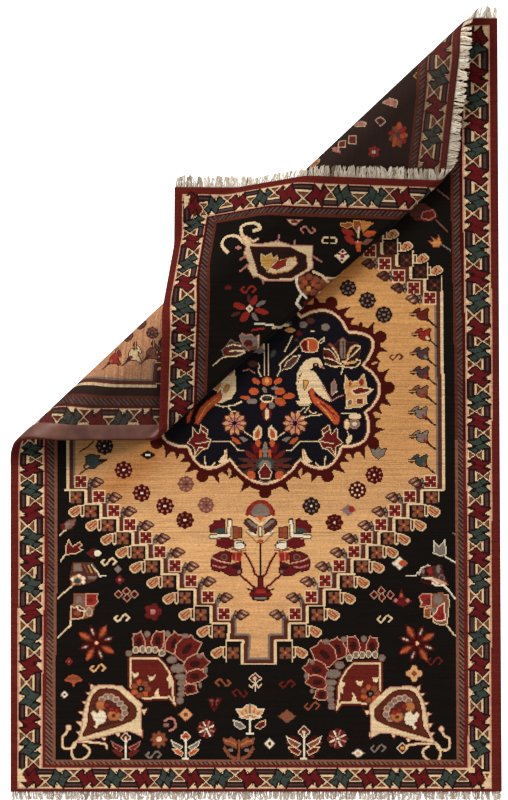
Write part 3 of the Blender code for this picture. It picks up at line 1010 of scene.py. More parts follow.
# The vase of flowers under the medallion; its sides mirror each other about its axis.
def paintVase():
    form = vaseForm
    axis = form["axis"]
    for angle in range(-180, 1, 15):
        turn = math.radians(angle)
        oval(axis + 13 * math.cos(turn), 514 + 11.6 * math.sin(turn), 1.9, 1.9, "R")
    fill(smooth([(247, 514.5), (249, 506), (255, 501), (261, 499.5), (267, 501.5), (272, 507), (273.6, 514.5),
                 (260.3, 517)], closed=True), "R", "r")
    fill(smooth([(250.6, 514), (253, 507), (260.3, 503), (267.8, 507), (270, 514), (260, 518)], closed=True),
         "s", "m")
    fill([(256, 516), (264.6, 516), (260.3, 521)], "o")
    stroke([(249.4, 516.4), (260.3, 524.4), (271, 516.4)], 2, "c")
    for side in (-1, 1):
        def both(points):
            return [(axis + side * (x + form["spread"] * max(x - 30, 0)), y) for x, y in points]

        draw(form["shapes"], both)
    fill([(258.6, 526), (262, 526), (262.4, 537), (258.2, 537)], "w", "d")
    oval(260.3, 541.6, 3, 2.2, "o", "u")
    stroke([(260.3, 544), (260.3, 577)], 1.7, "d")
    fill([(258, 576), (263, 576), (263.6, 586), (269, 589), (272.4, 594), (268, 600), (260.5, 601),
          (253, 600), (248.6, 594), (252, 589), (257, 586)], "r", "d")
    fill([(255.5, 588), (265.5, 588), (266.5, 594), (254.4, 594)], "R", "r")
    oval(260.4, 598, 8, 2.4, "s", "d")
    for side in (-1, 1):
        stroke([(260.4 + side * 7, 591), (260.4 + side * 12.6, 588.6)], 1.8, "d")


# The small motifs on the black ground below the stepped field.
def paintLowerSmalls():
    for x, y, first, way in ((96.8, 642.6, 30, -1), (416.4, 643, 60, 1)):
        for step in range(4):
            for angle, reach, half in ((first + step * 90, 22, 4.8),
                                       (first + step * 90 - way * 41, 19.5, 3.6)):
                ahead = np.array([math.cos(math.radians(angle)), math.sin(math.radians(angle))])
                side = np.array([-ahead[1], ahead[0]])
                petal = [ahead * reach * share + side * half * wide for share, wide in
                         ((0.08, 0), (0.4, 0.8), (0.66, 1), (1, 0), (0.66, -1), (0.4, -0.8))]
                fill([spot + (x, y) for spot in petal], "v" if half > 4 else "f", "f")
                core = (x, y) + ahead * reach * 0.62
                if half > 4:
                    oval(*core, 6.2, 2.3, "o", "u", angle)
                else:
                    oval(*core, 4, 1.3, "w", "s", angle)
        oval(x, y, 2.6, 2.6, "c", "R")
    for hook in ((98, 668, "t"), (434, 661, "e"), (286.8, 684, "e"), (311.6, 705.8, "u"),
                 (240, 693, "e", True), (223, 682.5, "u", True), (153.7, 754.4, "s"), (377.6, 748, "s"),
                 (122, 618, "c"), (384, 619, "c"), (109, 562, "c")):
        letterHook(*hook)
    for spot in ((185.7, 714, 8, 7, "t", "u", "u"), (286.8, 715.8, 9, 7, "i", "h", "u"),
                 (357.7, 752.5, 7, 5, "w", "s", "t"), (401.8, 747.5, 6.4, 6.4, "r", "w", "y"),
                 (269.4, 743, 6, 6, "w", "s", "r"), (399, 563, 8.6, 7, "w", "s"),
                 (94, 553, 7.6, 5.6, "r", "b"), (255, 678, 7, 6, "r", "w", "c")):
        diamond(*spot)
    for spot in ((64.8, 694.3, 4, 4, "w", "s", "k"), (69.4, 661, 3.6, 4, "e", "R", "p"),
                 (159, 738.7, 9, 8, "u", "b", "c"), (413.6, 673, 9, 4, "t", "b", "u", 0.6),
                 (153, 611.5, 9, 5, "e", "r", "p"), (120, 579.6, 4.6, 4, "e", "r", "p"),
                 (118, 569, 3.6, 4, "s")):
        bloom(*spot)
    fill([(64, 680), (68, 676), (73, 674), (79, 676), (84, 680), (76, 682), (74, 687), (72, 682)], "u", "o")
    stroke([(73.6, 680), (74, 685)], 1.4, "o")
    stroke(smooth([(165, 720), (171, 717.5), (175, 721), (175, 727), (170, 730)]), 2.2, "p")
    oval(166.5, 724.5, 3.4, 2.6, "s", "r")
    fill([(208, 699), (213, 697), (214.6, 701), (217, 697), (221.6, 698), (218, 706), (214, 711), (211, 706)],
         "f", "r")
    stroke([(210, 700), (213, 700), (212, 705)], 1, "m")
    stroke([(219, 700), (216.4, 700), (216, 705)], 1, "m")
    for x, y, r in ((206.6, 728.3, 9.6), (337, 738, 10.4)):
        bloom(x, y, r, 8, "e")
        for step in range(8):
            angle = math.radians(step * 45 + 20)
            stroke([(x + 3 * math.cos(angle), y + 3 * math.sin(angle)),
                    (x + (r - 2) * math.cos(angle), y + (r - 2) * math.sin(angle))],
                    1.6, "w" if step % 2 else "p")
        oval(x, y, 1.5, 1.5, "w")
    oval(402, 563, 3.6, 3.4, "o")
    fill([(391, 601), (398, 597), (400.6, 589), (404, 597), (412, 601), (403, 606.5)], "r", "e")
    for x, y in ((395, 600), (407, 600), (400.6, 595)):
        oval(x, y, 2, 1.8, "p" if y > 596 else "o")
    oval(98, 553, 3.4, 3, "w")
    for x, y in ((119, 594), (127, 591), (127, 597.6), (134.6, 594), (373.6, 594.6), (381, 590.6),
                 (381.6, 597),
                 (390, 594.6)):
        diamond(x, y, 4.4, 4.6, "f", "l")
    stroke([(255, 680), (255, 690)], 1.4, "w")
    stroke([(249, 685), (252, 687), (255, 682), (258, 687), (261, 684)], 1.2, "c")


# The flowering plants in the lower row.
def paintLowerPlants():
    # Palmette flower in the middle
    fill([(235, 708), (242, 708.4), (245, 705), (250, 703), (255, 705), (258, 708.4), (265, 708), (262, 713),
          (259, 718), (250, 719), (241, 718), (238, 713)], "t", "w")
    for a, b in ((-9, 712), (9, 712), (-4.6, 708.6), (4.6, 708.6)):
        stroke([(250 + a, b), (250 + a * 0.4, 716.6)], 1.5, "q")
    stroke([(250, 704), (250, 718)], 1.8, "s")
    stroke([(239, 716.4), (250, 713), (261, 716.4)], 1, "w")
    fill([(233, 719), (240, 721), (246, 727), (240, 729), (234, 725)], "s", "w")
    fill([(266, 719), (259, 721), (254, 727), (260, 729), (266, 725)], "r", "c")
    stroke([(250, 717), (250, 732)], 2.6, "w")
    stroke([(247, 733), (253, 733)], 2, "w")
    # Orange plant below it
    for side in (-1, 1):
        draw([([(1, 741), (5, 738), (8, 736), (11, 738), (16, 737), (15, 743), (8, 746), (2, 748)], "u", "h"),
              ([(3, 744), (8, 741), (13, 740)], 1.4, "q"),
              ([(1, 757), (8, 754), (14, 745), (16, 748), (11, 756), (4, 760)], "u", "h"),
              ([(8, 749.4)], 2.4, 1.8, "s")],
             lambda points: [(238.7 + side * x, y) for x, y in points])
    stroke([(238.7, 740), (238.7, 759)], 2.6, "u")
    # Plants with white stems
    for x, y, size, bloomColour, leafColour in ((185.7, 744, 1, "o", "s"), (126, 745, 1, "e", "e"),
                                                (303.6, 741, 1.2, "e", "u")):
        if size > 1:
            for a, b, turn, colour in ((9, -3, 30, "f"), (13, 1.6, 8, "e"), (11, 8, -18, "f"),
                                       (6, 12.4, -40, "e")):
                for side in (-1, 1):
                    oval(x + side * a, y + b, 5, 2.3, colour, "", -side * turn)
        edges = ("p", "e") if leafColour == "e" else ("w", "c")
        for side in (-1, 1):
            draw([([(2, 2), (8, -1), (15, -5), (13, 1), (6, 6)], leafColour, edges[0]),
                  ([(2, 8), (8, 4), (14, 4), (10, 9), (4, 12)], bloomColour, edges[1])],
                 lambda points: [(x + side * a * size, y + b * size) for a, b in points])
        bloom(x, y - 8 * size, 5 * size, 4, bloomColour, "w", "R" if bloomColour == "o" else "c")
        stroke([(x, y - 6 * size), (x, y + 14 * size)], 1.6, "w")
        stroke([(x - 3, y + 14 * size), (x + 3, y + 14 * size)], 1.6, "w")


# Cream-lined tulips and palmettes on stems that leave the side guards.
def paintSideTulips():
    fill([(66, 521), (70, 519), (77, 518), (76, 524), (72, 529), (63, 531), (61, 527)], "a", "b")
    fill([(66, 523), (70, 522), (69, 527), (65, 529)], "s")
    fill([(61, 524), (65, 523), (66, 529), (62, 530)], "e")
    stroke([(60, 535), (66, 530)], 1.4, "c")
    red = [(66, 546), (69, 538.5), (73, 546), (80, 541), (83.4, 545), (79, 548), (83.6, 549.6), (77, 553.6),
           (66, 555)]
    fill(red, "r", "c")
    stroke([(66, 554), (61, 561)], 1.5, "c")
    fill([(73, 562), (93, 562), (97, 568), (100, 575), (96, 580), (86, 584), (71, 586), (70, 577)], "b", "v")
    fill([(74, 563), (82, 563), (82.6, 571), (74, 571.6)], "s", "a")
    for x, colour in ((84, "u"), (88, "y"), (92, "u")):
        stroke([(x, 564), (x + 4, 572)], 1.6, colour)
    stroke([(89, 564), (94, 566), (97, 571)], 2, "g")
    fill([(87, 575), (99, 574.6), (96, 580), (88, 580)], "s", "v")
    fill([(71, 576), (80, 573), (87, 578), (84, 584), (72, 586)], "t", "u")
    for x, y in ((79.6, 575.4), (83.6, 578), (73, 579), (84, 582)):
        oval(x, y, 2, 1.7, "w")
    oval(77.6, 580.6, 4.2, 3.2, "g", "s")
    stroke([(72, 586), (66, 591), (58, 598)], 1.5, "c")
    stroke([(92, 565), (98, 572), (100, 576), (106, 575.6)], 1.2, "w")
    fill([(74, 593), (99, 592.6), (97.6, 597), (99, 601.6), (95, 606.6), (93, 616), (84, 618.6), (70, 620),
          (70.6, 605), (74, 603)], "a", "u")
    fill([(86, 593), (99, 592.6), (97.4, 597), (99, 601.6), (94, 606), (86, 606)], "R", "l")
    oval(90.6, 600, 2.6, 2.4, "x", "r")
    fill([(75.6, 594.6), (82.6, 594.6), (82.6, 603), (75.6, 604)], "s", "m")
    fill([(71, 605), (75, 607), (80, 605), (86, 609), (84, 618), (71, 619.6)], "v", "c")
    oval(77.6, 613, 4.6, 3.6, "u", "r")
    stroke([(77, 606), (79, 609.6), (84.6, 611)], 1.3, "w")
    oval(89.6, 611.6, 3.4, 4.6, "s", "t")
    stroke([(71, 620), (71, 625), (58, 637)], 1.5, "c")
    # Right side
    fill([(433, 540), (438, 546), (444.6, 539), (446, 554), (440, 556.5), (432, 553), (433, 549)], "s", "w")
    stroke([(444, 556), (459, 565)], 1.5, "w")
    fill([(418, 574), (420, 567), (427, 564.6), (436, 565.6), (441, 563.6), (444, 575), (448, 584),
          (436, 584), (424, 579)], "b", "f")
    oval(422.4, 571, 3, 3.6, "s", "d")
    oval(426.4, 572, 2, 3.6, "k")
    fill([(425, 570), (431, 566), (433, 573), (429, 576)], "R", "r")
    oval(437.6, 569, 2.8, 5, "s", "x")
    oval(441, 578, 3, 3.6, "x", "s")
    fill([(421, 577.6), (430, 575.6), (438, 578), (446, 582), (448, 585), (436, 585.6), (430, 580.6)], "l",
         "m")
    stroke([(422, 577.6), (431, 578), (437, 583)], 1.6, "w")
    stroke([(420.6, 581), (430, 584)], 1.5, "f")
    stroke([(418.6, 574), (420.4, 568), (427, 565), (430, 566)], 1.2, "w")
    stroke([(406, 575.6), (415, 575.6), (418, 571)], 1.2, "w")
    stroke([(432, 583), (436, 585.6), (443, 585), (448, 590), (454, 598)], 1.5, "w")
    fill([(419, 600), (422, 595), (428, 597), (432, 594), (448, 594), (449, 603), (448, 612), (447, 624),
          (440, 625.4), (432, 622), (432, 612), (426, 611)], "m", "c")
    fill([(417.6, 597), (421, 593), (431, 592.6), (431, 606), (419, 607), (421, 602)], "R", "l")
    oval(427, 601, 2.6, 2.6, "x", "r")
    fill([(432, 593), (443, 592), (443, 603), (432, 606)], "a", "u")
    oval(437, 599, 4, 5, "s")
    fill([(423, 608), (431, 607), (430, 618), (423, 617)], "u", "t")
    oval(432, 610, 2.6, 2.4, "s")
    fill([(430, 616), (435, 612), (437, 606), (444, 602), (445, 620), (436, 621.4)], "R", "w")
    for x, y in ((434, 616), (438, 611), (441, 609)):
        stroke([(x, y), (442, 619)], 0.9, "r")
    stroke([(446, 625), (453, 634), (461, 640)], 1.5, "c")
    # Upper right
    fill([(427, 241), (433, 242), (430, 237), (436, 240), (438, 234.6), (441, 243), (439, 247.6), (433, 248)],
         "t", "u")
    stroke([(441, 245), (450, 251)], 1.4, "s")
    fill([(411, 205), (424, 204), (434, 211), (437, 217), (430, 222), (415, 221), (409, 215)], "b", "e")
    fill([(422, 212), (433, 210), (435.6, 217), (428, 221), (420, 219)], "e", "p")
    stroke([(436, 221), (447, 232)], 1.3, "m")
    stroke([(436, 190), (449, 200)], 1.3, "m")
    stroke([(452, 533), (458, 536)], 1.3, "s")


# What shows on the doubly folded corner: a curled leaf, a fan, a star and small motifs on black.
def paintFoldedCorner():
    fill([(62, 58), (255, 58), (255, 92), (236, 130), (120, 215), (62, 262)], "k")
    for line in ([(90.5, 86), (84, 79.5), (76, 77.6), (70, 79), (67.6, 85), (70, 90), (74.5, 95)],
                 [(91, 83), (87.6, 74), (88, 68), (97, 66.4), (104, 68), (106.4, 72), (100.4, 74.4)]):
        stroke(smooth(line), 3.2, "c")
    stroke([(92, 80), (100, 84.6), (104, 82)], 2.2, "c")
    outline = [(88, 80), (94, 79), (99, 86), (112, 85.4), (124, 83), (138, 87), (159.6, 87), (160.6, 110),
               (139.6, 123), (112.6, 123), (104, 118.6), (100.6, 119.6), (93.6, 109), (96, 106), (90, 97),
               (92.3, 90)]
    fill(outline, "c", "p")
    fill([(95.6, 88.6), (137, 89), (153.6, 97), (155, 110.4), (138.4, 120.4), (115, 120.6), (105, 115.4),
          (101, 104), (98.3, 97)], "d", "e")
    fill([(107, 95.6), (112, 98), (118, 95), (120, 100), (124, 97), (126, 103), (119, 108), (114, 112),
          (108, 107)], "y", "c")
    fill([(121, 103), (134, 100), (143, 98), (145, 106), (136, 113.6), (121, 116), (113, 114)], "c", "t")
    fill([(118, 109.6), (124, 103.6), (134, 101), (132.6, 108), (124, 112)], "R", "r")
    for line in ([(124, 84), (125.4, 77.6)], [(141, 87), (141.4, 82.6)], [(160, 98), (168.6, 103)],
                 [(92.6, 98), (87.4, 102)], [(94.6, 107), (87.6, 113)], [(110, 122), (111, 124.6)]):
        stroke(line, 1.9, "p")
    oval(85.4, 91, 2.6, 1.8, "p")
    # The fan beside it: an orange flower with a cream line, red petals beyond
    fill([(162, 124), (172, 118), (184, 119), (196, 112), (206, 108), (200, 124), (184, 140), (166, 142)],
         "u", "R")
    for x, y in ((150, 120.6), (157, 118.4), (164, 121), (166.4, 127.6), (162, 133.4), (154, 133),
                 (148.6, 127.6)):
        oval(x, y, 4.4, 4, "u", "b")
    for x, y in ((153, 124), (161, 124.6), (157, 130)):
        oval(x, y, 3.2, 3, "y" if y > 128 else "o", "u")
    oval(157.6, 125.4, 2, 2, "b")
    stroke(smooth([(144.6, 118.6), (144.8, 126), (149, 133.6), (155, 138.6)]), 2.2, "w")
    stroke(smooth([(160.8, 113), (170, 117), (176, 123)]), 2.6, "c")
    stroke(smooth([(175, 119), (187, 118.4), (194, 112)]), 2.6, "c")
    for line in ([(149, 137), (145.6, 144.6), (151, 150.6)], [(150.6, 152), (158, 148), (163, 142)]):
        stroke(smooth(line), 2.8, "w")
    fill([(151, 144), (158, 139.6), (166, 137), (163, 143), (154, 147.4)], "r", "e")
    oval(170.8, 134, 4, 2.4, "w", "p")
    # Star, hooks, diamonds and the dark red spot
    for x, y, w, h, turn, colour in ((102, 142, 5.4, 3, -62, "R"), (87.6, 147.6, 6.6, 3, 18, "R"),
                                     (110, 152.6, 7, 2.8, 14, "R"), (93.4, 158, 6.2, 3.6, -52, "R"),
                                     (109, 145, 5.4, 2, -28, "s"), (103.4, 158, 5, 2.2, 52, "s"),
                                     (84, 155.4, 5, 1.8, -20, "b"), (97, 140.6, 4.4, 1.6, 80, "b")):
        oval(x, y, w, h, colour, "", turn)
    diamond(98.3, 150, 4, 4, "c", "w", "R")
    letterHook(96, 131.4, "R")
    oval(75.5, 129.4, 4, 3, "e", "d")
    fill([(131, 62), (148, 62), (144, 65.6), (140, 68.6), (135, 66)], "c", "p")
    oval(140, 64.4, 3.6, 2, "b", "u")
    letterHook(153.8, 72.4, "p", True)
    for x, side in ((171.6, 1), (179.8, -1)):
        stroke(smooth([(x + 2.4 * side, 79), (x - 2 * side, 79.6), (x - 2.4 * side, 84),
                       (x + 2.4 * side, 84.6)]), 1.7, "c")
    diamond(189.5, 97, 8, 7.4, "w", "c", "R")
    for x, y in ((186, 95), (193, 95), (189.5, 101), (189.6, 92.6)):
        oval(x, y, 1.6, 1.5, "r")
    # Orange palmette with its tip down
    for points, colour in (([(186, 64), (196, 63), (200, 66), (193, 70), (185, 67)], "u"),
                           ([(198, 61.6), (206, 60.6), (208, 68), (203, 74), (198, 68)], "u"),
                           ([(207, 61), (219.6, 63), (214, 67.6), (209, 73), (206, 67)], "t"),
                           ([(187, 69), (197, 71), (201, 76), (193, 77), (188, 73)], "R"),
                           ([(222.4, 71.6), (213, 70.6), (208, 75), (214, 78), (220, 75.6)], "o"),
                           ([(190, 77), (198, 77.6), (203, 85), (197, 85), (192, 81)], "R"),
                           ([(220, 79), (213, 79), (207, 85), (214, 85)], "m"),
                           ([(201, 82), (208, 82), (207.4, 92), (203.6, 92)], "o")):
        fill(points, colour, "y" if colour == "u" else "")
    stroke([(204.6, 68), (204.6, 82)], 1.8, "c")
    stroke([(200, 74), (204.6, 81), (209, 74)], 1.6, "d")
    # White dashes over the medallion and the grey and pink palmette with its stem
    for points, colour in (([(104.6, 165), (113, 165)], "w"), ([(115.6, 166), (122.4, 166)], "w"),
                           ([(122, 168.6), (131, 168)], "c"), ([(128, 169), (138, 165.4)], "w"),
                           ([(101, 171.6), (113, 169.4)], "R")):
        stroke(points, 2.2, colour)
    fill([(88, 177), (91, 173.6), (95, 176), (100, 174.6), (104, 178), (109, 175.6), (109, 191), (98, 191.6),
          (92, 187)], "s", "p")
    oval(98, 184.6, 4.4, 4, "r", "b")
    oval(102, 189, 5.4, 2.4, "m")
    stroke([(107.6, 177), (108.4, 190)], 1.2, "c")
    fill([(70.6, 191), (76, 186), (79.6, 180), (84, 182.6), (89, 183.6), (93, 189), (96.6, 192), (86, 197.4),
          (73.6, 198)], "b", "s")
    stroke([(76, 187.6), (82, 185.6), (90, 187)], 1.4, "c")
    stroke([(74, 193.6), (84, 191.6), (94, 192)], 1.6, "c")
    oval(76, 193, 3, 2, "r")
    stroke(smooth([(62.6, 207), (73, 198.6), (86, 197.4), (95, 193.6)]), 1.2, "c")


# What shows through on the woven back: a palmette, diamonds and squares at its upper right.
def paintBackCorner():
    fill([(262, 58), (444, 58), (444, 100), (380, 125), (300, 150), (262, 100)], "k")
    for angle, colour, far in ((0, "o", 13), (40, "u", 10), (80, "R", 10), (120, "u", 10), (160, "o", 12),
                               (200, "u", 12), (235, "R", 11), (275, "o", 10), (320, "R", 11)):
        away = math.radians(angle)
        oval(333 + far * 0.55 * math.cos(away), 73 + far * 0.5 * math.sin(away), far * 0.5, 2.8, colour, "",
             angle)
    oval(333, 73, 3, 2, "g")
    diamond(345, 92, 5, 5.6, "r", "w", "k")
    bloom(315, 96, 6.4, 6, "R", "r", "w")
    for x, y in ((325, 118.3), (321, 128.5)):
        fill([(x - 4, y - 4), (x + 4, y - 4), (x + 4, y + 4), (x - 4, y + 4)], "r", "c")
    fill([(359, 77), (366, 76), (369, 84), (364, 92), (361, 86)], "p", "c")
    fill([(338, 106), (343, 105), (346, 112), (344, 119), (339, 117)], "p", "c")
    fill([(311, 129), (317, 130), (318, 138), (313, 137)], "p")
    diamond(392, 58, 5, 4.4, "b", "y")


# The left fan, and how the right one mirrors it: about its middle, narrower, lower and leaning
fanForm = {
    "mirror": {"from": 257.4, "to": 255, "narrowing": 0.985, "lower": 4.5, "leaning": 0.02, "start": 130},
    "hub": (148, 692),
    "panel": [(130, 657), (158.8, 657.4), (165, 663.6), (170, 671.4), (173.6, 681), (174, 694), (176, 706),
              (169.4, 697.4), (144, 699), (129.6, 686)],
    "beads": [(129, 653, 3.6, 3.4), (136, 649.6, 3.2, 3.8), (142.6, 649, 3.2, 3.8), (149, 649.6, 3.2, 3.8),
              (155.4, 649.4, 3.2, 3.8), (162, 652.6, 3.4, 3.6), (172, 659.4, 5, 4), (178, 668, 7.6, 4.6),
              (181, 676.4, 6, 3.4), (181.4, 682.6, 4.4, 3), (181.4, 688.4, 4, 3), (181, 694, 4, 3),
              (180, 700, 3.8, 3.6)],
    "petals": [(139, 641.6, 6.2, 8.4, 0), (158, 640.4, 6.4, 8.8, 0), (173.6, 643, 5.6, 9.4, 22),
               (187, 648.6, 6.6, 12, 45), (195, 663.6, 11, 6, -6), (194.6, 675.8, 9.6, 5.4, 4),
               (190, 688.6, 6.8, 6.4, 0)],
    "tips": [(147.4, 633.6, 3.2, 3.2), (167.6, 633.6, 3.2, 3.2), (185.4, 635.6, 3.8, 2.8),
             (199.6, 655.6, 3, 2.4),
             (205.6, 669.6, 2, 4.8), (200, 684.6, 1.8, 3)],
    "gaps": [(148.6, 643, 4, 7), (166, 645, 4, 7), (179, 655, 6, 5), (187, 669.6, 6, 3), (187, 682, 5, 3)],
    "petal": [(-0.95, -0.55), (-0.3, -1), (0.45, -0.95), (0.8, -0.6), (1.05, -0.7), (0.95, 0), (1.15, 0.65),
              (0.7, 0.8), (0.2, 1), (-0.5, 0.95), (-0.95, 0.5)],
}


# The fan-shaped flower above each boteh: a red panel, grey beads along it, and petals outside.
def paintFans():
    form = fanForm
    for side in (1, -1):
        def both(x, y):
            if side > 0:
                return x, y
            way = form["mirror"]
            return (way["to"] + (way["from"] - x) * way["narrowing"],
                    y + way["lower"] + way["leaning"] * (x - way["start"]))

        for x, y, w, h in form["gaps"]:
            oval(*both(x, y), w, h, "e")
        hub = form["hub"]
        for x, y, w, h, turn in form["petals"]:
            reach = math.hypot(x - hub[0], y - hub[1])
            outX, outY = (x - hub[0]) / reach, (y - hub[1]) / reach
            far = abs(outX) * w + abs(outY) * h
            near = (abs(outY) * w + abs(outX) * h) * 0.86
            points = [both(x + a * far * outX - b * near * outY, y + a * far * outY + b * near * outX)
                      for a, b in form["petal"]]
            fill(points, "e", "l")
            oval(*both(x, y), w * 0.48, h * 0.56, "d", "f", turn * side)
        for x, y, w, h in form["tips"]:
            oval(*both(x, y), w, h, "s", "a")
        outline = [both(x, y) for x, y in form["panel"]]
        area = window(np.min(outline, axis=0), np.max(outline, axis=0), 8)
        mask = insideOf(outline, gridX[area], gridY[area])
        put(area, grow(mask, 2), "e")
        put(area, mask, "c")
        put(area, shrink(mask, 2), "e", "v")
        for x, y, w, h in form["beads"]:
            oval(*both(x, y), w, h, "s", "c" if w < 3.5 else "a")
        for points in ([(131.6, 671), (135, 673), (139, 672), (138, 676), (134, 678)],
                       [(148, 675), (152, 676.6), (156, 674), (154, 679), (150, 681)],
                       [(166, 678), (169, 682), (168.6, 688), (172, 686), (170.6, 674)],
                       [(154, 697), (156, 690), (159, 687), (158.6, 692), (161, 697)]):
            fill([both(x, y) for x, y in points], "c")
        rx, ry = both(141, 688.4)
        for step in range(7):
            angle = math.radians(step * 51.4)
            oval(rx + 6.6 * math.cos(angle), ry + 6.4 * math.sin(angle), 4, 3.8, "o" if step % 2 else "u",
                 "v")
        oval(rx, ry, 4, 3.8, "k", "d")
        oval(rx, ry, 1.6, 1.5, "s")


# The left curled leaf, and how the right one mirrors it
botehForm = {
    "mirror": {"from": 255.6, "to": 257, "narrowing": 0.985, "lower": 1.5, "leaning": 0.004, "start": 75,
               "footBelow": 735, "footShift": 2},
    "outline": [(94, 685.5), (101, 683.6), (122, 685), (131.5, 693), (142.6, 703.5), (141.4, 716), (143, 737),
                (131, 731.4), (120, 731.6), (101, 737.4), (77, 741.5), (81, 729), (83, 714), (86.6, 699)],
    "inside": [(97, 690), (106, 687.5), (118, 689.5), (128, 698.6), (136.6, 707), (136, 717), (127, 722.6),
               (112, 728), (96, 732.5), (82.6, 736), (87, 724), (88.4, 712), (91, 699)],
    "spikes": [[(94, 694), (84, 691)], [(90, 703), (80, 700)], [(86, 713), (77, 711)], [(84, 724), (75, 720)],
               [(94, 688), (89, 682)], [(83, 733), (75, 730)], [(142, 712), (149, 707)],
               [(140, 731), (144, 738)],
               [(118, 731), (119, 738)], [(104, 736), (105, 742)]],
    "tail": [[(80, 739), (73, 745), (73, 756), (79, 759.5), (87, 756), (90, 749), (84, 744)],
             [(76, 742), (73.6, 747), (64, 747), (63, 737), (66.4, 733), (69, 727)],
             [(78, 741), (92, 741.6), (105, 743.5), (107, 747.5)]],
    "core": [(100, 697), (108, 693.5), (118, 697), (127, 705), (130, 712), (124, 719), (108, 724), (92, 728),
             (93, 714), (95, 703)],
    "beads": [(102, 699), (106.6, 696), (111.6, 696.4), (116.4, 699), (120.4, 703), (124, 707), (125, 712.4),
              (121, 716.6)],
    "patch": [(91, 712), (94, 710), (98, 713), (100, 709), (105, 711), (107, 717), (105, 722), (99, 724),
              (97, 728), (93, 725), (94, 719)],
}


# The two curled leaves in the lower corners, one the mirror image of the other.
def paintBotehs():
    form = botehForm
    for side in (1, -1):
        def both(points):
            if side > 0:
                return points
            way = form["mirror"]
            return [(way["to"] + (way["from"] - x) * way["narrowing"]
                     + (y > way["footBelow"]) * way["footShift"],
                     y + way["lower"] - (x - way["start"]) * way["leaning"]) for x, y in points]

        def spot(x, y, w, h, colour, edge=""):
            oval(*both([(x, y)])[0], w, h, colour, edge)

        for (x0, y0), (x1, y1) in form["spikes"]:
            rise = np.array([y0 - y1, x1 - x0]) / max(math.hypot(x1 - x0, y1 - y0), 1) * 4.2
            fill(both([(x0 + rise[0], y0 + rise[1]), (x1, y1), (x0 - rise[0], y0 - rise[1])]), "c", "e")
        for width, colour in ((3.4, "e"), (2.2, "c")):
            for line in form["tail"]:
                stroke(smooth(both(line)), width, colour)
        spot(69, 727, 3, 3.2, "c", "p")
        fill(both(form["outline"]), "c", "p")
        fill(smooth(both(form["inside"]), closed=True), "v", "f")
        fill(smooth(both(form["core"]), closed=True), "b", "d")
        for x, y in form["beads"]:
            spot(x, y, 3.5, 3.2, "s", "l")
        spot(101, 704.7, 5.4, 5.2, "q", "u")
        spot(114, 715, 6.8, 5.4, "q", "u")
        spot(114, 715, 2, 1.8, "v")
        for x, y in ((107, 704.6), (112, 708.6), (117, 710)):
            spot(x, y, 3, 2.6, "R", "r")
        fill(both(form["patch"]), "w", "c")
        spot(93.4, 722.4, 3, 3, "e")


paintField()
paintSteps()
paintMedallion()
paintMedallionFlowers()
paintBirds()
paintMedallionSides()
paintFieldFlowers()
paintVase()
paintLowerSmalls()
paintLowerPlants()
paintSideTulips()
paintFans()
paintBotehs()
paintFoldedCorner()
paintBackCorner()
sideBands()
paintBorders()
print("chart knotted")


# Red, green and blue as the renderer wants them, from a hexadecimal colour.
def toLinear(code):
    channels = np.array([int(code[i:i + 2], 16) / 255 for i in (1, 3, 5)])
    return np.where(channels <= 0.04045, channels / 12.92, ((channels + 0.055) / 1.055) ** 2.4)


# The wool's tone at heights of the chart, darker towards the top and lighter towards the bottom; ground is
# the same for the golden yarn's channels, partly dye variation and partly painted shade; the corner patch is
# a painted shadow under the flap's lower edge, the fold patch painted shade along the fold's diagonal, and
# what starts with back is for the woven back
dyeForm = {
    "seed": 21,
    "knotSpread": 0.09,
    "rowSpread": 0.045,
    "streakDepth": 0.10,
    "streakLength": 16,
    "streakLimits": (-1, 2),
    "shadeLimits": (0.3, 1.8),
    "heightTone": [(20, 0.74), (300, 0.86), (520, 0.98), (790, 1.1)],
    "ground": [(200, 0.90, 0.62, 0.45), (235, 0.96, 0.69, 0.51), (290, 1.08, 0.98, 1.0),
               (440, 1.0, 0.9, 0.98),
               (500, 1.06, 1.04, 1.3), (540, 1.2, 1.22, 1.55), (590, 1.2, 1.17, 1.46),
               (640, 1.12, 1.08, 1.34)],
    "paintedFlapShadow": {"x": 95, "y": 440, "wide": 80, "high": 27, "depth": 0.42},
    "paintedFoldShade": {"x": 310, "y": 300, "run": (0.695, 0.719), "wide": 17, "depth": 0.34,
                "tint": (0.6, 1, 1.4)},
    "backMute": 0.74,
    "backPale": 0.56,
    "backPaleYarns": "clw",
    "backPaleEnd": 250,
    "backGolden": (0.86, 0.84, 1.2),
    "backSpread": 0.14,
    "backRows": 0.09,
    "backGround": (0.020, 0.0100, 0.0078),
}
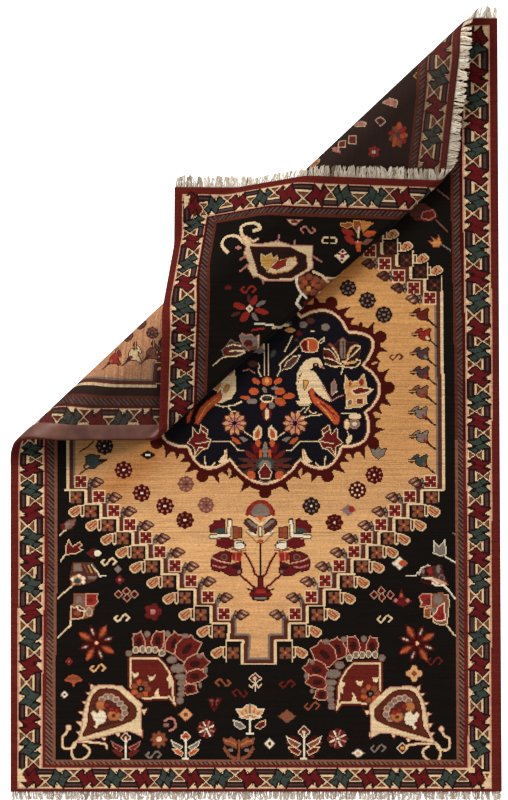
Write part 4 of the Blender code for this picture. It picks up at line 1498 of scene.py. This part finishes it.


# The colour of every knot: its yarn, times a row's own shade, short streaks and a spread a knot, a tone by
# height, and painted shade under the flap and along the fold.
def dyeKnots():
    table = np.zeros((128, 3))
    for letter, code in yarns.items():
        table[ord(letter)] = toLinear(code)
    colours = table[chart]
    rng = np.random.default_rng(dyeForm["seed"])
    shade = 1 + rng.normal(0, dyeForm["knotSpread"], (rows, columns))
    shade *= 1 + rng.normal(0, dyeForm["rowSpread"], (rows, 1))
    coarse = rng.normal(0, 1, (rows, columns // dyeForm["streakLength"] + 2))
    places = np.arange(columns) / dyeForm["streakLength"]
    cell = places.astype(int)
    part = places - cell
    streaks = coarse[:, cell] * (1 - part) + coarse[:, cell + 1] * part
    shade *= 1 - dyeForm["streakDepth"] * np.clip(streaks, *dyeForm["streakLimits"])
    heights = downY + chartForm["top"]
    # The wool darker towards the top and lighter towards the bottom
    heightTone = np.array(dyeForm["heightTone"])
    shade *= np.interp(heights, heightTone[:, 0], heightTone[:, 1])[:, None]
    # Golden ground by height: partly dye variation and partly painted shade, darker and oranger near the fold
    # at the top, paler at the bottom
    ground = np.array(dyeForm["ground"])
    golden = chart == ord("t")
    for channel in range(3):
        tone = np.interp(heights, ground[:, 0], ground[:, channel + 1])
        colours[:, :, channel] *= np.where(golden, tone[:, None], 1)
    # Painted shadow: every knot under the flap's lower edge darkened in a soft patch
    corner = dyeForm["paintedFlapShadow"]
    away = ((gridX - corner["x"]) / corner["wide"]) ** 2 + ((gridY - corner["y"]) / corner["high"]) ** 2
    shade *= 1 - corner["depth"] * np.exp(-away)
    # Painted shade: the golden knots along the fold's diagonal darkened and made oranger
    fold = dyeForm["paintedFoldShade"]
    past = (gridX - fold["x"]) * fold["run"][0] + (gridY - fold["y"]) * fold["run"][1]
    foldShade = fold["depth"] * np.exp(-(past / fold["wide"]) ** 2) * golden
    colours *= 1 - foldShade[:, :, None] * np.array(fold["tint"])
    return colours * np.clip(shade, *dyeForm["shadeLimits"])[:, :, None]


# The same knots seen from behind: duller, the ground yarn showing between them.
def dyeBack(colours):
    rng = np.random.default_rng(dyeForm["seed"] + 1)
    pale = np.isin(chart, [ord(letter) for letter in dyeForm["backPaleYarns"]])
    pale &= gridY < dyeForm["backPaleEnd"]
    tones = colours * np.where(pale, dyeForm["backPale"], dyeForm["backMute"])[:, :, None]
    tones = np.where((chart == ord("t"))[:, :, None], tones * np.array(dyeForm["backGolden"]), tones)
    tones *= 1 + rng.normal(0, dyeForm["backSpread"], (rows, columns, 1))
    tones *= 1 + rng.normal(0, dyeForm["backRows"], (rows, 1, 1))
    return np.clip(tones, 0, 1) + np.array(dyeForm["backGround"])


# Where the camera hangs, in metres, and its lens in millimetres
viewForm = {
    "height": 4.2,
    "x": -0.0053,
    "y": 0.012,
    "lens": 50.87,
}

# The cloth's mesh: its bands, how uneven the pile is, how it thins at the edges, and the cells and
# depth by which the blocks that show from above are found
meshForm = {
    "bands": 6,
    "seed": 8,
    "unevenness": 0.00022,
    "edgeKnots": 3,
    "edgeThinning": 0.35,
    "endSlope": 1.5,
    "seenCell": 0.005,
    "seenCells": (400, 520),
    "seenDepth": 0.004,
}


# Both faces of the cloth at every knot corner: arrays (rows + 1, columns + 1, 3), bottom row first.
def restingPoints():
    j = np.arange(columns + 1)
    i = np.arange(rows + 1)
    across = (j / columns - 0.5) * rugForm["width"]
    along = (i / rows - 0.5) * rugForm["length"]
    fromSide = np.minimum(j, columns - j)[None, :]
    fromEnd = np.minimum(i, rows - i)[:, None] * meshForm["endSlope"]
    edge = np.minimum(fromSide, fromEnd)
    inward = np.clip(1 - edge / meshForm["edgeKnots"], 0, 1)
    half = rugForm["thickness"] / 2 * (1 - meshForm["edgeThinning"] * inward ** 2)
    rng = np.random.default_rng(meshForm["seed"])
    rough = rng.uniform(-1, 1, half.shape) * meshForm["unevenness"]
    acrossGrid, alongGrid = np.meshgrid(across, along)
    front = place(acrossGrid, alongGrid, half + rough)
    back = place(acrossGrid, alongGrid, -half)
    return front, back


front, back = restingPoints()
blockRows = rows // 2
blockColumns = columns // 2


# Which blocks of 2 x 2 knots show from the camera, on each face, with a margin round them: those
# less than seenDepth under the highest one in the cells round theirs.
def seenBlocks():
    layers = [front[1::2, 1::2], back[1::2, 1::2]]
    wide, high = meshForm["seenCells"]
    spots = []
    for layer in layers:
        scale = viewForm["height"] / (viewForm["height"] - layer[..., 2]) / meshForm["seenCell"]
        x = (layer[..., 0] - viewForm["x"]) * scale
        y = (layer[..., 1] - viewForm["y"]) * scale
        spots.append((np.round(x).astype(int) + wide // 2, np.round(y).astype(int) + high // 2))
    highest = np.full((wide, high), -1.0)
    for layer, (x, y) in zip(layers, spots):
        np.maximum.at(highest, (x, y), layer[..., 2])
    padded = np.pad(highest, 1, mode="edge")
    nearby = np.minimum.reduce([padded[a:a + wide, b:b + high] for a in range(3) for b in range(3)])
    nearby = np.maximum(nearby, -0.5)
    seen = []
    for layer, (x, y) in zip(layers, spots):
        seen.append(grow(layer[..., 2] > nearby[x, y] - meshForm["seenDepth"]))
    return seen


seenFront, seenBack = seenBlocks()
print("blocks seen from above:", int(seenFront.sum()), int(seenBack.sum()))


# One face of a band: four quads a block where it shows, else one polygon whose sides have a middle
# corner where the next block is fine or the band ends, so that no gap opens.
def facePolygons(seen, low, high):
    wide = columns + 1
    i, j = np.meshgrid(np.arange(low, high), np.arange(blockColumns), indexing="ij")
    i = i.ravel()
    j = j.ravel()
    fine = seen[i, j]
    fi = i[fine] * 2
    fj = j[fine] * 2
    quads = []
    knots = []
    for di, dj in ((0, 0), (0, 1), (1, 0), (1, 1)):
        corner = (fi + di) * wide + fj + dj
        quads.append(np.stack([corner, corner + 1, corner + wide + 1, corner + wide], axis=1))
        knots.append(np.stack([fi + di, fj + dj], axis=1))
    quads = np.concatenate(quads)
    knots = np.concatenate(knots)
    ci = i[~fine]
    cj = j[~fine]
    padded = np.pad(seen, 1, constant_values=True)
    below = padded[ci, cj + 1] | (ci == low)
    above = padded[ci + 2, cj + 1] | (ci == high - 1)
    left = padded[ci + 1, cj]
    right = padded[ci + 1, cj + 2]
    base = ci * 2 * wide + cj * 2
    ring = np.stack([base, base + 1, base + 2, base + wide + 2, base + 2 * wide + 2,
                     base + 2 * wide + 1, base + 2 * wide, base + wide], axis=1)
    yes = np.ones(len(ci), bool)
    mask = np.stack([yes, below, yes, right, yes, above, yes, left], axis=1)
    return quads, knots, ring, mask, ci, cj


# How the band's picture is shared out when its colours are baked: front above, back below, rims on top
bakeForm = {
    "left": 0.015,
    "wide": 0.97,
    "frontLow": 0.52,
    "backLow": 0.02,
    "high": 0.45,
    "rimLeft": 0.01,
    "rimStep": 0.9 / 620,
    "rimKnots": 600,
    "rimLow": 0.985,
    "rimHigh": 0.008,
    "rimShade": 0.8,
}


# A new object at the origin that carries the mesh, lamp or lens.
def addObject(name, data):
    obj = bpy.data.objects.new(name, data)
    bpy.context.scene.collection.objects.link(obj)
    return obj


# A closed shell of cloth between two block rows: its two faces and the walls between their rims,
# with the knots' colours on the faces' corners.
def buildBand(name, low, high, faceColours, materials):
    wide = columns + 1
    total = wide * (rows + 1)
    loops = []
    sizes = []
    tints = []
    kinds = []
    for side, seen, shades in ((0, seenFront, faceColours[0]), (1, seenBack, faceColours[1])):
        quads, knots, ring, mask, ci, cj = facePolygons(seen, low, high)
        blocks = shades.reshape(blockRows, 2, blockColumns, 2, 3).mean(axis=(1, 3))
        if side:
            quads = quads[:, ::-1]
            ring = ring[:, ::-1]
            mask = mask[:, ::-1]
        loops += [quads.ravel() + side * total, ring[mask] + side * total]
        sizes += [np.full(len(quads), 4), mask.sum(axis=1)]
        tints += [np.repeat(shades[knots[:, 0], knots[:, 1]], 4, axis=0),
                  np.repeat(blocks[ci, cj], mask.sum(axis=1), axis=0)]
        kinds += [np.full(len(quads) + len(ring), side)]
    lowRow = low * 2
    highRow = high * 2
    bottomRim = lowRow * wide + np.arange(wide)
    rightRim = np.arange(lowRow, highRow + 1) * wide + columns
    topRim = highRow * wide + np.arange(wide)[::-1]
    leftRim = np.arange(highRow, lowRow - 1, -1) * wide
    rims = [bottomRim, rightRim, topRim, leftRim]
    for rim in rims:
        a = rim[:-1]
        b = rim[1:]
        walls = np.stack([b, a, a + total, b + total], axis=1)
        loops.append(walls.ravel())
        sizes.append(np.full(len(walls), 4))
        i = np.clip(np.minimum(a, b) // wide, 0, rows - 1)
        j = np.clip(np.minimum(a % wide, b % wide), 0, columns - 1)
        tints.append(np.repeat(faceColours[0][i, j] * bakeForm["rimShade"], 4, axis=0))
        kinds.append(np.zeros(len(walls), int))
    loops = np.concatenate(loops)
    sizes = np.concatenate(sizes)
    tints = np.concatenate(tints)
    kinds = np.concatenate(kinds)
    used, places = np.unique(loops, return_inverse=True)
    places = places.ravel()
    points = np.concatenate([front.reshape(-1, 3), back.reshape(-1, 3)])[used]
    mesh = bpy.data.meshes.new(name)
    mesh.vertices.add(len(points))
    mesh.vertices.foreach_set("co", points.astype(np.float32).ravel())
    mesh.loops.add(len(loops))
    mesh.loops.foreach_set("vertex_index", places.astype(np.int32))
    mesh.polygons.add(len(sizes))
    starts = np.concatenate([[0], np.cumsum(sizes)[:-1]])
    mesh.polygons.foreach_set("loop_start", starts.astype(np.int32))
    mesh.polygons.foreach_set("material_index", kinds.astype(np.int32))
    mesh.update(calc_edges=True)
    mesh.validate()
    layer = mesh.color_attributes.new("knots", "FLOAT_COLOR", "CORNER")
    layer.data.foreach_set("color", np.column_stack([tints, np.ones(len(tints))]).astype(np.float32).ravel())
    side = loops // total
    column = loops % total % wide
    row = loops % total // wide
    share = (row - lowRow) / (highRow - lowRow)
    bake = mesh.uv_layers.new(name="OFBake")
    form = bakeForm
    u = form["left"] + form["wide"] * column / columns
    v = np.where(side == 0, form["frontLow"], form["backLow"]) + form["high"] * share
    wallCount = sum(len(rim) - 1 for rim in rims)
    rimLoops = np.repeat(np.arange(len(sizes)) >= len(sizes) - wallCount, sizes)
    v = np.where(rimLoops, form["rimLow"] + form["rimHigh"] * side, v)
    u = np.where(rimLoops, form["rimLeft"] + (column + row) % form["rimKnots"] * form["rimStep"], u)
    bake.data.foreach_set("uv", np.stack([u, v], axis=1).astype(np.float32).ravel())
    weave = mesh.uv_layers.new(name="weave")
    weave.data.foreach_set("uv", np.stack([column, row], axis=1).astype(np.float32).ravel())
    mesh.shade_smooth()
    for material in materials:
        mesh.materials.append(material)
    return addObject(name, mesh)


pileLook = {
    "shader": {"Roughness": 0.95, "Specular IOR Level": 0.05, "Sheen Weight": 0.02},
    "noise": {"Scale": 1.0, "Detail": 3.0},
    "bump": {"Strength": 0.35, "Distance": 0.001},
}


# Sets a node's inputs by their names.
def setInputs(node, values):
    for name, value in values.items():
        node.inputs[name].default_value = value
    return node


# A new material with the given inputs on its shader; the shader and the node tree come with it.
def newMaterial(name, values):
    material = bpy.data.materials.new(name)
    material.use_nodes = True
    tree = material.node_tree
    return material, tree, setInputs(tree.nodes["Principled BSDF"], values)


# A relief on the shader: bump height = noise at the vector's place.
def addBump(tree, shader, vector, look):
    noise = setInputs(tree.nodes.new("ShaderNodeTexNoise"), look["noise"])
    tree.links.new(vector, noise.inputs["Vector"])
    bump = setInputs(tree.nodes.new("ShaderNodeBump"), look["bump"])
    tree.links.new(noise.outputs["Fac"], bump.inputs["Height"])
    tree.links.new(bump.outputs["Normal"], shader.inputs["Normal"])


# Wool coloured by the knots attribute, with a fine relief that is measured in knots.
def clothMaterial(name, look):
    material, tree, shader = newMaterial(name, look["shader"])
    tint = tree.nodes.new("ShaderNodeAttribute")
    tint.attribute_name = "knots"
    tree.links.new(tint.outputs["Color"], shader.inputs["Base Color"])
    weave = tree.nodes.new("ShaderNodeUVMap")
    weave.uv_map = "weave"
    addBump(tree, shader, weave.outputs["UV"], look)
    return material


knotColours = dyeKnots()
faceColours = (knotColours[::-1], dyeBack(knotColours)[::-1])
pileMaterial = clothMaterial("wool pile", pileLook)
backMaterial = clothMaterial("woven back", pileLook)
cuts = np.round(np.linspace(0, blockRows, meshForm["bands"] + 1)).astype(int)
for number, (low, high) in enumerate(zip(cuts[:-1], cuts[1:])):
    name = "rug_band_" + str(number + 1)
    band = buildBand(name, int(low), int(high), faceColours, [pileMaterial, backMaterial])
    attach(band, "root")
    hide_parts("rug")
print("cloth built")


# The fringes, in metres: strands in locks, how they lean, gather, wave and settle on the floor.
# Each shade pair is dark and pale; a strand's share of pale is its lock's and its own together
fringeForm = {
    "strands": 1080,
    "locks": 150,
    "length": {"top": 0.0335, "bottom": 0.0275},
    "width": 0.0019,
    "thick": 0.0011,
    "rings": 5,
    "lean": 0.13,
    "gather": 0.16,
    "wave": 0.0016,
    "shades": {"top": ("#6b5844", "#dccfba"), "bottom": ("#a08b77", "#ded0be")},
    # Painted light: the next three brighten the top fringe's right part, on the turned-over layer, up to the
    # brightest tint
    "paintedLightRight": 0.75,
    "paintedLightFrom": 0.12,
    "paintedLightRun": 0.1,
    "brightest": 0.93,
    "sideGap": 0.006,
    "tuckedIn": 0.002,
    "lockShortest": 0.86,
    "strandShortest": 0.84,
    "settledBy": 0.4,
    "floorGap": 0.0002,
    "lift": 0.0016,
    "tipNarrowing": 0.35,
    "lockShare": (0.55, 0.22),
    "strandShare": 0.14,
    "rootShare": 0.45,
    "seed": 31,
}


# Warp ends in locks: each strand leans with its lock, gathers to it and waves, then lies down.
# Its way across is start + lean x run + gather x (lock's middle - start) x run^1.5 + wave x sin.
def buildFringe(name, end, shades, material):
    form = fringeForm
    rng = np.random.default_rng(form["seed"] + (end > 0))
    count = form["strands"]
    run = np.linspace(0, 1, form["rings"])[None, :]
    start = (np.linspace(-0.5, 0.5, count) * (rugForm["width"] - form["sideGap"]))[:, None]
    lock = np.minimum(np.arange(count) * form["locks"] // count, form["locks"] - 1)
    middles = np.array([start[lock == number].mean() for number in range(form["locks"])])
    lean = rng.normal(0, form["lean"], form["locks"])[lock][:, None]
    length = form["length"]["top" if end > 0 else "bottom"]
    length = length * rng.uniform(form["lockShortest"], 1, form["locks"])[lock]
    length = (length * rng.uniform(form["strandShortest"], 1, count))[:, None]
    wave = rng.normal(0, form["wave"], (count, 1))
    phase = rng.uniform(0, 6.3, (count, 1))
    across = start + lean * length * run + form["gather"] * (middles[lock][:, None] - start) * run ** 1.5
    across = across + wave * (np.sin(phase + run * 7) - np.sin(phase))
    across = np.clip(across, -rugForm["width"] / 2, rugForm["width"] / 2)
    along = end * (rugForm["length"] / 2 - form["tuckedIn"] + length * run)
    low = -(rugForm["thickness"] / 2 - form["thick"] / 2 - form["floorGap"])
    lift = rng.uniform(0, form["lift"], (count, 1)) * np.sin(math.pi * run)
    offset = low * np.clip(run / form["settledBy"], 0, 1) + lift
    half = form["width"] / 2 * (1 - form["tipNarrowing"] * run ** 3)
    thick = form["thick"] / 2
    corners = [place(across - half, along, offset), place(across, along, offset + thick),
               place(across + half, along, offset), place(across, along, offset - thick)]
    points = np.stack(corners, axis=2).reshape(-1, 3)
    base = (np.arange(count)[:, None] * form["rings"] + np.arange(form["rings"] - 1)[None, :]).ravel() * 4
    quads = []
    for side in range(4):
        a = base + side
        b = base + (side + 1) % 4
        quads.append(np.stack([a, b, b + 4, a + 4], axis=1))
    first = np.arange(count) * form["rings"] * 4
    last = first + (form["rings"] - 1) * 4
    quads.append(np.stack([first + 3, first + 2, first + 1, first], axis=1))
    quads.append(np.stack([last, last + 1, last + 2, last + 3], axis=1))
    quads = np.concatenate(quads)
    if end > 0:
        quads = quads[:, ::-1]
    mesh = bpy.data.meshes.new(name + "_strands")
    mesh.from_pydata(points.tolist(), [], quads.tolist())
    dark, pale = [toLinear(code) for code in shades]
    lockShare = rng.normal(*form["lockShare"], (form["locks"], 1))[lock]
    share = np.clip(lockShare + rng.normal(0, form["strandShare"], (count, 1)), 0, 1)
    rising = form["rootShare"] + (1 - form["rootShare"]) * np.clip(run * 3, 0, 1)
    tints = dark + (pale - dark) * share[:, :, None] * rising[:, :, None]
    # Painted light: the right part of the top fringe made brighter, capped at the brightest tint
    if end > 0:
        paintedLight = np.clip((start / rugForm["width"] - form["paintedLightFrom"]) / form["paintedLightRun"], 0, 1)
        tints = np.clip(tints * (1 + form["paintedLightRight"] * paintedLight[:, :, None]), 0, form["brightest"])
    tints = np.repeat(tints.reshape(-1, 3), 4, axis=0)
    layer = mesh.color_attributes.new("knots", "FLOAT_COLOR", "POINT")
    layer.data.foreach_set("color", np.column_stack([tints, np.ones(len(tints))]).astype(np.float32).ravel())
    mesh.materials.append(material)
    obj = addObject(name + "_strands", mesh)
    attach(obj, "root")
    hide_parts(name)


warpLook = {
    "shader": {"Roughness": 0.9, "Specular IOR Level": 0.1, "Sheen Weight": 0.02},
    "noise": {"Scale": 1.0, "Detail": 3.0},
    "bump": {"Strength": 0.0, "Distance": 0.001},
}
warpMaterial = clothMaterial("cotton warp", warpLook)
buildFringe("fringe_top", 1, fringeForm["shades"]["top"], warpMaterial)
buildFringe("fringe_bottom", -1, fringeForm["shades"]["bottom"], warpMaterial)
print("fringes built")

# The leather strip sewn to the back beside the left edge, in metres
stripForm = {
    "inset": 0.003,
    "width": 0.038,
    "thickness": 0.002,
    "gap": 0.0005,
    "start": -0.110,
    "end": 0.450,
    "columns": 11,
    "rows": 101,
    "rimShares": (0.45, 0.8),
    "colours": ("#5f392f", "#7e5344"),
    "mottle": {"Scale": 22.0, "Detail": 5.0},
    "mottleLimits": (0.38, 0.68),
    "shader": {"Roughness": 0.48, "Specular IOR Level": 0.3},
    "noise": {"Scale": 260.0},
    "bump": {"Strength": 0.25, "Distance": 0.0006},
}


# Leather whose colour goes from worn to dark with a broad noise, and a fine grain.
def leatherMaterial(form):
    material, tree, shader = newMaterial("worn leather", form["shader"])
    around = tree.nodes.new("ShaderNodeTexCoord").outputs["Object"]
    mottle = setInputs(tree.nodes.new("ShaderNodeTexNoise"), form["mottle"])
    tree.links.new(around, mottle.inputs["Vector"])
    ramp = tree.nodes.new("ShaderNodeValToRGB")
    for stop, code, limit in zip(ramp.color_ramp.elements, form["colours"], form["mottleLimits"]):
        stop.position = limit
        stop.color = (*toLinear(code), 1)
    tree.links.new(mottle.outputs["Fac"], ramp.inputs["Fac"])
    tree.links.new(ramp.outputs["Color"], shader.inputs["Base Color"])
    addBump(tree, shader, around, form)
    return material


# A thin closed band of leather that follows the back of the cloth, its long edges rounded down.
def buildStrip(form):
    wide = form["columns"]
    tall = form["rows"]
    low = -rugForm["width"] / 2 + form["inset"]
    across = np.linspace(low, low + form["width"], wide)
    along = np.linspace(form["start"], form["end"], tall)
    acrossGrid, alongGrid = np.meshgrid(across, along)
    edge = np.minimum(np.arange(wide), wide - 1 - np.arange(wide))
    thin = form["thickness"] * np.array([*form["rimShares"], 1.0])[np.minimum(edge, 2)][None, :]
    near = -rugForm["thickness"] / 2 - form["gap"]
    inner = place(acrossGrid, alongGrid, near + 0 * thin)
    outer = place(acrossGrid, alongGrid, near - thin)
    points = np.concatenate([outer.reshape(-1, 3), inner.reshape(-1, 3)])
    total = wide * tall
    i, j = np.meshgrid(np.arange(tall - 1), np.arange(wide - 1), indexing="ij")
    a = (i * wide + j).ravel()
    quads = [np.stack([a, a + wide, a + wide + 1, a + 1], axis=1),
             np.stack([a, a + 1, a + wide + 1, a + wide], axis=1) + total]
    rims = [np.arange(wide), np.arange(tall) * wide + wide - 1, np.arange(wide)[::-1] + (tall - 1) * wide,
            np.arange(tall)[::-1] * wide]
    for rim in rims:
        quads.append(np.stack([rim[:-1], rim[1:], rim[1:] + total, rim[:-1] + total], axis=1))
    mesh = bpy.data.meshes.new("side_strip")
    mesh.from_pydata(points.tolist(), [], np.concatenate(quads).tolist())
    mesh.shade_smooth()
    mesh.materials.append(leatherMaterial(form))
    obj = addObject("side_strip_leather", mesh)
    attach(obj, "root")
    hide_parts("side_strip")


buildStrip(stripForm)
print("strip built")

# The pale floor glows a little and casts nothing on the rug
floorForm = {
    "half": 6,
    "height": -0.0008,
    "shader": {"Base Color": (*toLinear("#f4f4f4"), 1), "Roughness": 0.9, "Specular IOR Level": 0.0,
               "Emission Color": (1, 1, 1, 1), "Emission Strength": 1.2},
}
reach = floorForm["half"]
floorMesh = bpy.data.meshes.new("floor")
floorMesh.from_pydata([(-reach, -reach, 0), (reach, -reach, 0), (reach, reach, 0), (-reach, reach, 0)], [],
                      [(0, 1, 2, 3)])
floorMesh.materials.append(newMaterial("pale floor", floorForm["shader"])[0])
floor = addObject("floor", floorMesh)
floor.location = (0, 0, floorForm["height"])
floor.visible_diffuse = False
floor.visible_glossy = False

# An even sky and two broad lamps, in metres and watts
lightForm = {
    "sky": 0.44,
    "lamps": [
        {"name": "soft lamp left", "place": (-2.1, 2.4, 2.5), "size": 2.0, "power": 138},
        {"name": "soft lamp right", "place": (2.0, -1.6, 3.4), "size": 3.0, "power": 26},
    ],
}


# A round lamp that faces the middle of the rug.
def addLamp(form):
    lamp = bpy.data.lights.new(form["name"], "AREA")
    lamp.shape = "DISK"
    lamp.size = form["size"]
    lamp.energy = form["power"]
    obj = addObject(form["name"], lamp)
    obj.location = form["place"]
    x, y, z = form["place"]
    obj.rotation_euler = (math.atan2(math.hypot(x, y), z), 0, math.atan2(y, x) + math.pi / 2)


for lampForm in lightForm["lamps"]:
    addLamp(lampForm)
world = bpy.data.worlds.new("plain sky")
world.use_nodes = True
setInputs(world.node_tree.nodes["Background"], {"Color": (1, 1, 1, 1), "Strength": lightForm["sky"]})
bpy.context.scene.world = world

lens = bpy.data.cameras.new("camera")
lens.sensor_fit = "VERTICAL"
lens.sensor_height = 24
lens.sensor_width = 24
lens.lens = viewForm["lens"]
lens.clip_end = 30
camera = addObject("camera", lens)
camera.location = (viewForm["x"], viewForm["y"], viewForm["height"])
bpy.context.scene.camera = camera

bpy.context.scene.view_settings.view_transform = "Standard"
print("scene ready")
